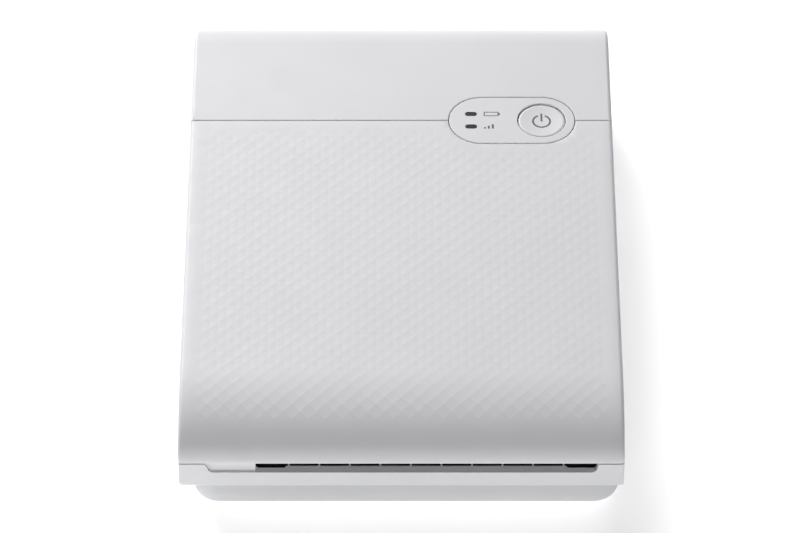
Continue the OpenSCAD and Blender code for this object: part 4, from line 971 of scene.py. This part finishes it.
def makePictograms(bezel):
    # printed marks beside the windows: a battery outline and a row of rising bars
    low, high = top - mark["deep"], top - mark["sunk"]
    x, y, h = mark["x"], seamY + lens["pitch"] / 2, mark["h"] / 2
    end, line = mark["x"] + mark["w"], mark["line"]

    def batteryOutline(low, high):
        shell = addBox((x, y - h, low), (end, y + h, high))
        carve(shell, addBox((x + line, y - h + line, low - over),
                            (end - line, y + h - line, high + over)))
        tip = addBox((end - 0.01, y - mark["tipH"], low),
                     (end + mark["tipW"], y + mark["tipH"], high))
        return carve(shell, tip, "UNION")

    def risingBar(i, low, high):
        start, foot = x + i * mark["pitch"], seamY - lens["pitch"] / 2 - mark["foot"]
        tall = mark["grow"] * (i + 1)
        return addBox((start, foot, low), (start + mark["bar"], foot + tall, high))

    pocketLow = top - mark["pocket"]
    carve(bezel, batteryOutline(pocketLow, top + over))
    finishPiece(tidyMesh(batteryOutline(low, high)), "battery_mark", "root", "mark_grey")
    for i in range(3):
        carve(bezel, risingBar(i, pocketLow, top + over))
        bar = tidyMesh(risingBar(i, low, high))
        finishPiece(bar, "level_mark_" + str(i + 1), "root", "mark_grey")
    tidyMesh(bezel)


bezel = makeBezel()
makeButton()
makeWindows()
makePictograms(bezel)
print("control panel made")


# slider and feet

grip = {"y0": -29.65, "y1": -21.65, "z": 19.1, "h": 2.4, "deep": 0.7, "round": 0.5, "edge": 0.08,
        "ridges": 5, "grooveR": 0.42, "grooveOut": 0.12, "grooveH": 0.85,
        "stemZ": (18.7, 19.5), "stemY": (-27.25, -24.65), "hookY": -26.25, "hookTop": 25.2,
        "nose": [(-24.7, 24.0), (-22.95, 24.0), (-22.55, 24.5), (-22.9, 25.2), (-24.7, 25.2)]}
pad = {"rim": 0.35, "hollow": 0.1, "hollowIn": 1.3, "flatIn": 1.0, "around": 56}


def makeSlider():
    z, rows = grip["z"], grip["ridges"]
    obj = addBox((-half, grip["y0"], z - grip["h"] / 2),
                 (-half + grip["deep"], grip["y1"], z + grip["h"] / 2))
    roundEdges(obj, lambda a, b: abs(a.x - b.x) > 0.1, grip["round"], 4)
    pitch = (grip["y1"] - grip["y0"]) / (rows + 1)
    for i in range(rows):
        y = grip["y0"] + pitch * (i + 1)
        groove = circlePoints(-half - grip["grooveOut"], y, grip["grooveR"], 20)
        carve(obj, addPrism("Z", groove, z - grip["grooveH"], z + grip["grooveH"]))
    (stemLow, stemHigh), (stemStart, stemEnd) = grip["stemZ"], grip["stemY"]
    carve(obj, addBox((-half + grip["deep"] - 0.05, stemStart, stemLow),
                      (hookX[1], stemEnd, stemHigh)), "UNION")
    carve(obj, addBox((hookX[0], grip["hookY"], stemLow),
                      (hookX[1], stemEnd, grip["hookTop"])), "UNION")
    carve(obj, addPrism("X", grip["nose"], *hookX), "UNION")
    soften(obj, grip["edge"], 40, 2)
    tidyMesh(obj)
    finishPiece(obj, "release_slider_knob", "slider", "case_white", "release_slider")


def makeFeet():
    # a domed pad with a thin rounded rim and a slightly hollow middle, and its three copies
    places = ["foot_left_front", "foot_left_rear", "foot_right_front", "foot_right_rear"]
    low, high = (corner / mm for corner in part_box(places[0]))
    r, rim = (high.x - low.x) / 2, pad["rim"]
    profile = [(0, low.z + pad["hollow"]), (r - pad["hollowIn"], low.z + pad["hollow"]),
               (r - pad["flatIn"], low.z), (r - rim, low.z)]
    profile += [(r - rim + rim * sin(a), low.z + rim - rim * cos(a)) for a in quarter(6, 1)]
    profile += [(r, high.z), (0, high.z)]
    first = addTurned(profile, ((low.x + high.x) / 2, (low.y + high.y) / 2), pad["around"])
    tidyMesh(first)
    feet = [first] + [copyMoved(first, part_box(name)[0] / mm - low) for name in places[1:]]
    for obj, name in zip(feet, places):
        finishPiece(obj, name + "_pad", "root", "foot_rubber", name)


makeSlider()
makeFeet()
print("slider and feet made")


# pieces taken over from the frame and finished

members = frame["record"]["behaviour"]["bodies"]
bodyOf = {node: body for body, group in members.items() for node in group}


def mergedCopy(name):
    # a copy of a node with its corners merged and its flat faces joined
    mesh = nodes[name].data.copy()
    obj = bpy.data.objects.new(name + "_copy", mesh)
    scene.collection.objects.link(obj)
    only(obj)
    bpy.ops.object.mode_set(mode="EDIT")
    bpy.ops.mesh.select_mode(type="VERT")
    bpy.ops.mesh.select_all(action="SELECT")
    bpy.ops.mesh.remove_doubles(threshold=weld["copy"])
    bpy.ops.mesh.dissolve_limited(angle_limit=radians(0.3), use_dissolve_boundaries=False)
    bpy.ops.object.mode_set(mode="OBJECT")
    return obj


def refine(name, edge, kind):
    obj = mergedCopy(name)
    soften(obj, edge, 50, 2)
    tidyMesh(obj, 30)
    return finishPiece(obj, name + "_finished", bodyOf[name], kind, name)


tub = {"low": 0.6, "high": 14.2, "wall": 1.6, "x": (-48.0, 50.3), "y": 70.85, "front": 11.2,
       "edge": 3.0, "rearR": 2.4, "frontR": (5.5, 6.8), "cap": 17,
       "liner": ((-52, -73, 0.1), (52, -57, 14.1)),
       "wellR": 1.8, "wellHigh": 3.6, "boreR": 0.95, "boreHigh": 16}


def tubRing(z, inset=0.0):
    # outline at a height: the front runs under, and its corners open out towards the bottom
    low = tub["low"] + inset
    share = clamp((tub["high"] - z) / (tub["high"] - low))
    near = clamp((low + tub["edge"] - z) / tub["edge"])
    side = inset + tub["edge"] * (1 - sqrt(1 - near * near))
    front = inset + tub["front"] * (1 - sqrt(1 - share * share))
    wide, narrow = tub["frontR"][1] - inset, tub["frontR"][0] - inset
    r = narrow + (wide - narrow) * share * share
    q = tub["rearR"] - inset * 0.8
    a, b = (tub["x"][0] + side, front - tub["y"]), (tub["x"][1] - side, tub["y"] - side)
    turn = quarter(14)
    ring = [(a[0] + r - r * cos(t), a[1] + r - r * sin(t)) for t in turn]
    ring += [(b[0] - r + r * sin(t), a[1] + r - r * cos(t)) for t in turn]
    ring += [(b[0] - q + q * cos(t), b[1] - q + q * sin(t)) for t in turn]
    ring += [(a[0] + q - q * sin(t), b[1] - q + q * cos(t)) for t in turn]
    return ring


def tubBlock(inset):
    low = tub["low"] + inset
    heights = [low + (tub["high"] - low) * (1 - cos(a)) for a in quarter(22)]
    rows = [(tubRing(z, inset), z) for z in heights]
    return addLoft(rows + [(tubRing(tub["high"], inset), tub["cap"])])


def makeTub():
    # the frame's own case with a liner at the front, cut to the outer form
    obj = mergedCopy("lower_case")
    liner = addBox(*tub["liner"])
    carve(liner, tubBlock(tub["wall"]))
    carve(obj, liner, "UNION")
    carve(obj, tubBlock(0), "INTERSECT")
    for x, y in screwPlaces[:2]:
        carve(obj, addPrism("Z", circlePoints(x, y, tub["wellR"], 32), -over, tub["wellHigh"]))
        carve(obj, addPrism("Z", circlePoints(x, y, tub["boreR"], 24), -over, tub["boreHigh"]))
    tidyMesh(obj, 30)
    # its darker finish is painted shade for the shadow under the lip
    return finishPiece(obj, "lower_case_tub", "root", "tub_white_painted_shade", "lower_case")


makeTub()
print("tub made")

# pieces that keep the frame's form: by finish, each with the width of its softened edges
refined = {
    "black_plastic": {"paper_tray": 0.12, "paper_deck": 0.1, "rear_paper_guide": 0.1,
                      "cassette_frame": 0.1},
    "steel": {"lift_plate": 0.12, "hinge_arms": 0.12, "hinge_pins": 0.08, "door_pins": 0.08,
              "head_shaft": 0.1, "platen_shaft": 0.1, "pickup_shaft": 0.1, "idler_stud": 0.1,
              "feed_roller": 0.1, "pinch_roller": 0.1, "left_side_plate": 0.08,
              "right_side_plate": 0.08},
    "motor_steel": {"feed_motor": 0.3},
    "brass": {"motor_pinion": 0.04},
    "aluminium": {"head_heat_sink": 0.15},
    "ceramic": {"print_head": 0.12},
    "gear_nylon": {"pickup_gear": 0.05, "feed_gear": 0.05, "idler_gear": 0.05,
                   "take_up_gear": 0.05},
    "spool_white": {"supply_spool": 0.15, "take_up_spool": 0.15},
    "ribbon_yellow": {"supply_ribbon": 0.06},
    "ribbon_magenta": {"take_up_ribbon": 0.06},
    "board_green": {"main_board": 0.08, "power_board": 0.05, "button_board": 0.05},
    "battery_wrap": {"battery_pack": 0.6},
    "rubber": {"platen_roller": 0.15},
    "grey_plastic": {"power_switch": 0.1},
    "steel_shell": {"usb_socket": 0.06},
    "screw_steel": {"case_screws": 0.08},
    "case_white": {"cassette_door": 0.2},
}
for kind, pieces in refined.items():
    for name, edge in pieces.items():
        refine(name, edge, kind)


tyre = {"boreR": 1.2, "bands": 13, "deep": 0.25, "ramp": (0.02, 0.2), "fall": (0.35, 0.2)}


def makeTyre():
    # the pick-up tyre, grooved along the sheet's path
    low, high = (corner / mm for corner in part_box("pickup_tyre"))
    middle = ((low.y + high.y) / 2, (low.z + high.z) / 2)
    r = (high.z - low.z) / 2
    pitch = (high.x - low.x) / tyre["bands"]
    bottom = r - tyre["deep"]
    profile = [(tyre["boreR"], high.x), (tyre["boreR"], low.x)]
    for i in range(tyre["bands"]):
        x = low.x + i * pitch
        profile += [(bottom, x + tyre["ramp"][0]), (r, x + tyre["ramp"][1]),
                    (r, x + pitch - tyre["fall"][0]), (bottom, x + pitch - tyre["fall"][1])]
    profile += [(bottom, high.x)]
    obj = addTurned(profile, middle, 56, "X")
    tidyMesh(obj)
    finishPiece(obj, "pickup_tyre_grooved", "pickup", "rubber", "pickup_tyre")


boardParts = {
    "thick": 1.0, "grow": 0.03, "over": 0.02, "chipEdge": 0.18,
    "chips": {"controller": (-30.5, -44, 12, 12, 1.25), "memory": (-8.5, -36, 9, 9, 1.05),
              "driver": (11.5, -48, 16, 10, 1.65), "radio": (17.5, -26, 7, 12, 1.45)},
    "capacitor": (1.6, 0.8, 0.75), "capEdge": 0.1, "sunk": 0.05, "start": (-6, -20),
    "pitch": (4.2, 5), "columns": 3, "count": 6,
}


def makeBoardParts():
    # parts soldered on the main board: chips with a moulded edge and small capacitors
    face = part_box("main_board")[0].z / mm + boardParts["thick"]
    grow = boardParts["grow"]
    for name, (x, y, w, d, h) in boardParts["chips"].items():
        obj = addBox((x - grow, y - grow, face),
                     (x + w + grow, y + d + grow, face + h + boardParts["over"]))
        soften(obj, boardParts["chipEdge"], 40, 2)
        tidyMesh(obj)
        finishPiece(obj, "board_" + name, "root", "black_plastic")
    (x, y), (w, d, h) = boardParts["start"], boardParts["capacitor"]
    first = addBox((x, y, face - boardParts["sunk"]), (x + w, y + d, face + h))
    soften(first, boardParts["capEdge"], 40, 2)
    tidyMesh(first)
    parts = [first]
    for i in range(1, boardParts["count"]):
        row, column = divmod(i, boardParts["columns"])
        shift = (column * boardParts["pitch"][0], row * boardParts["pitch"][1], 0)
        parts.append(copyMoved(first, shift))
    for i, obj in enumerate(parts):
        finishPiece(obj, "board_capacitor_" + str(i + 1), "root", "ceramic")


makeTyre()
makeBoardParts()
print("carried-over pieces refined")
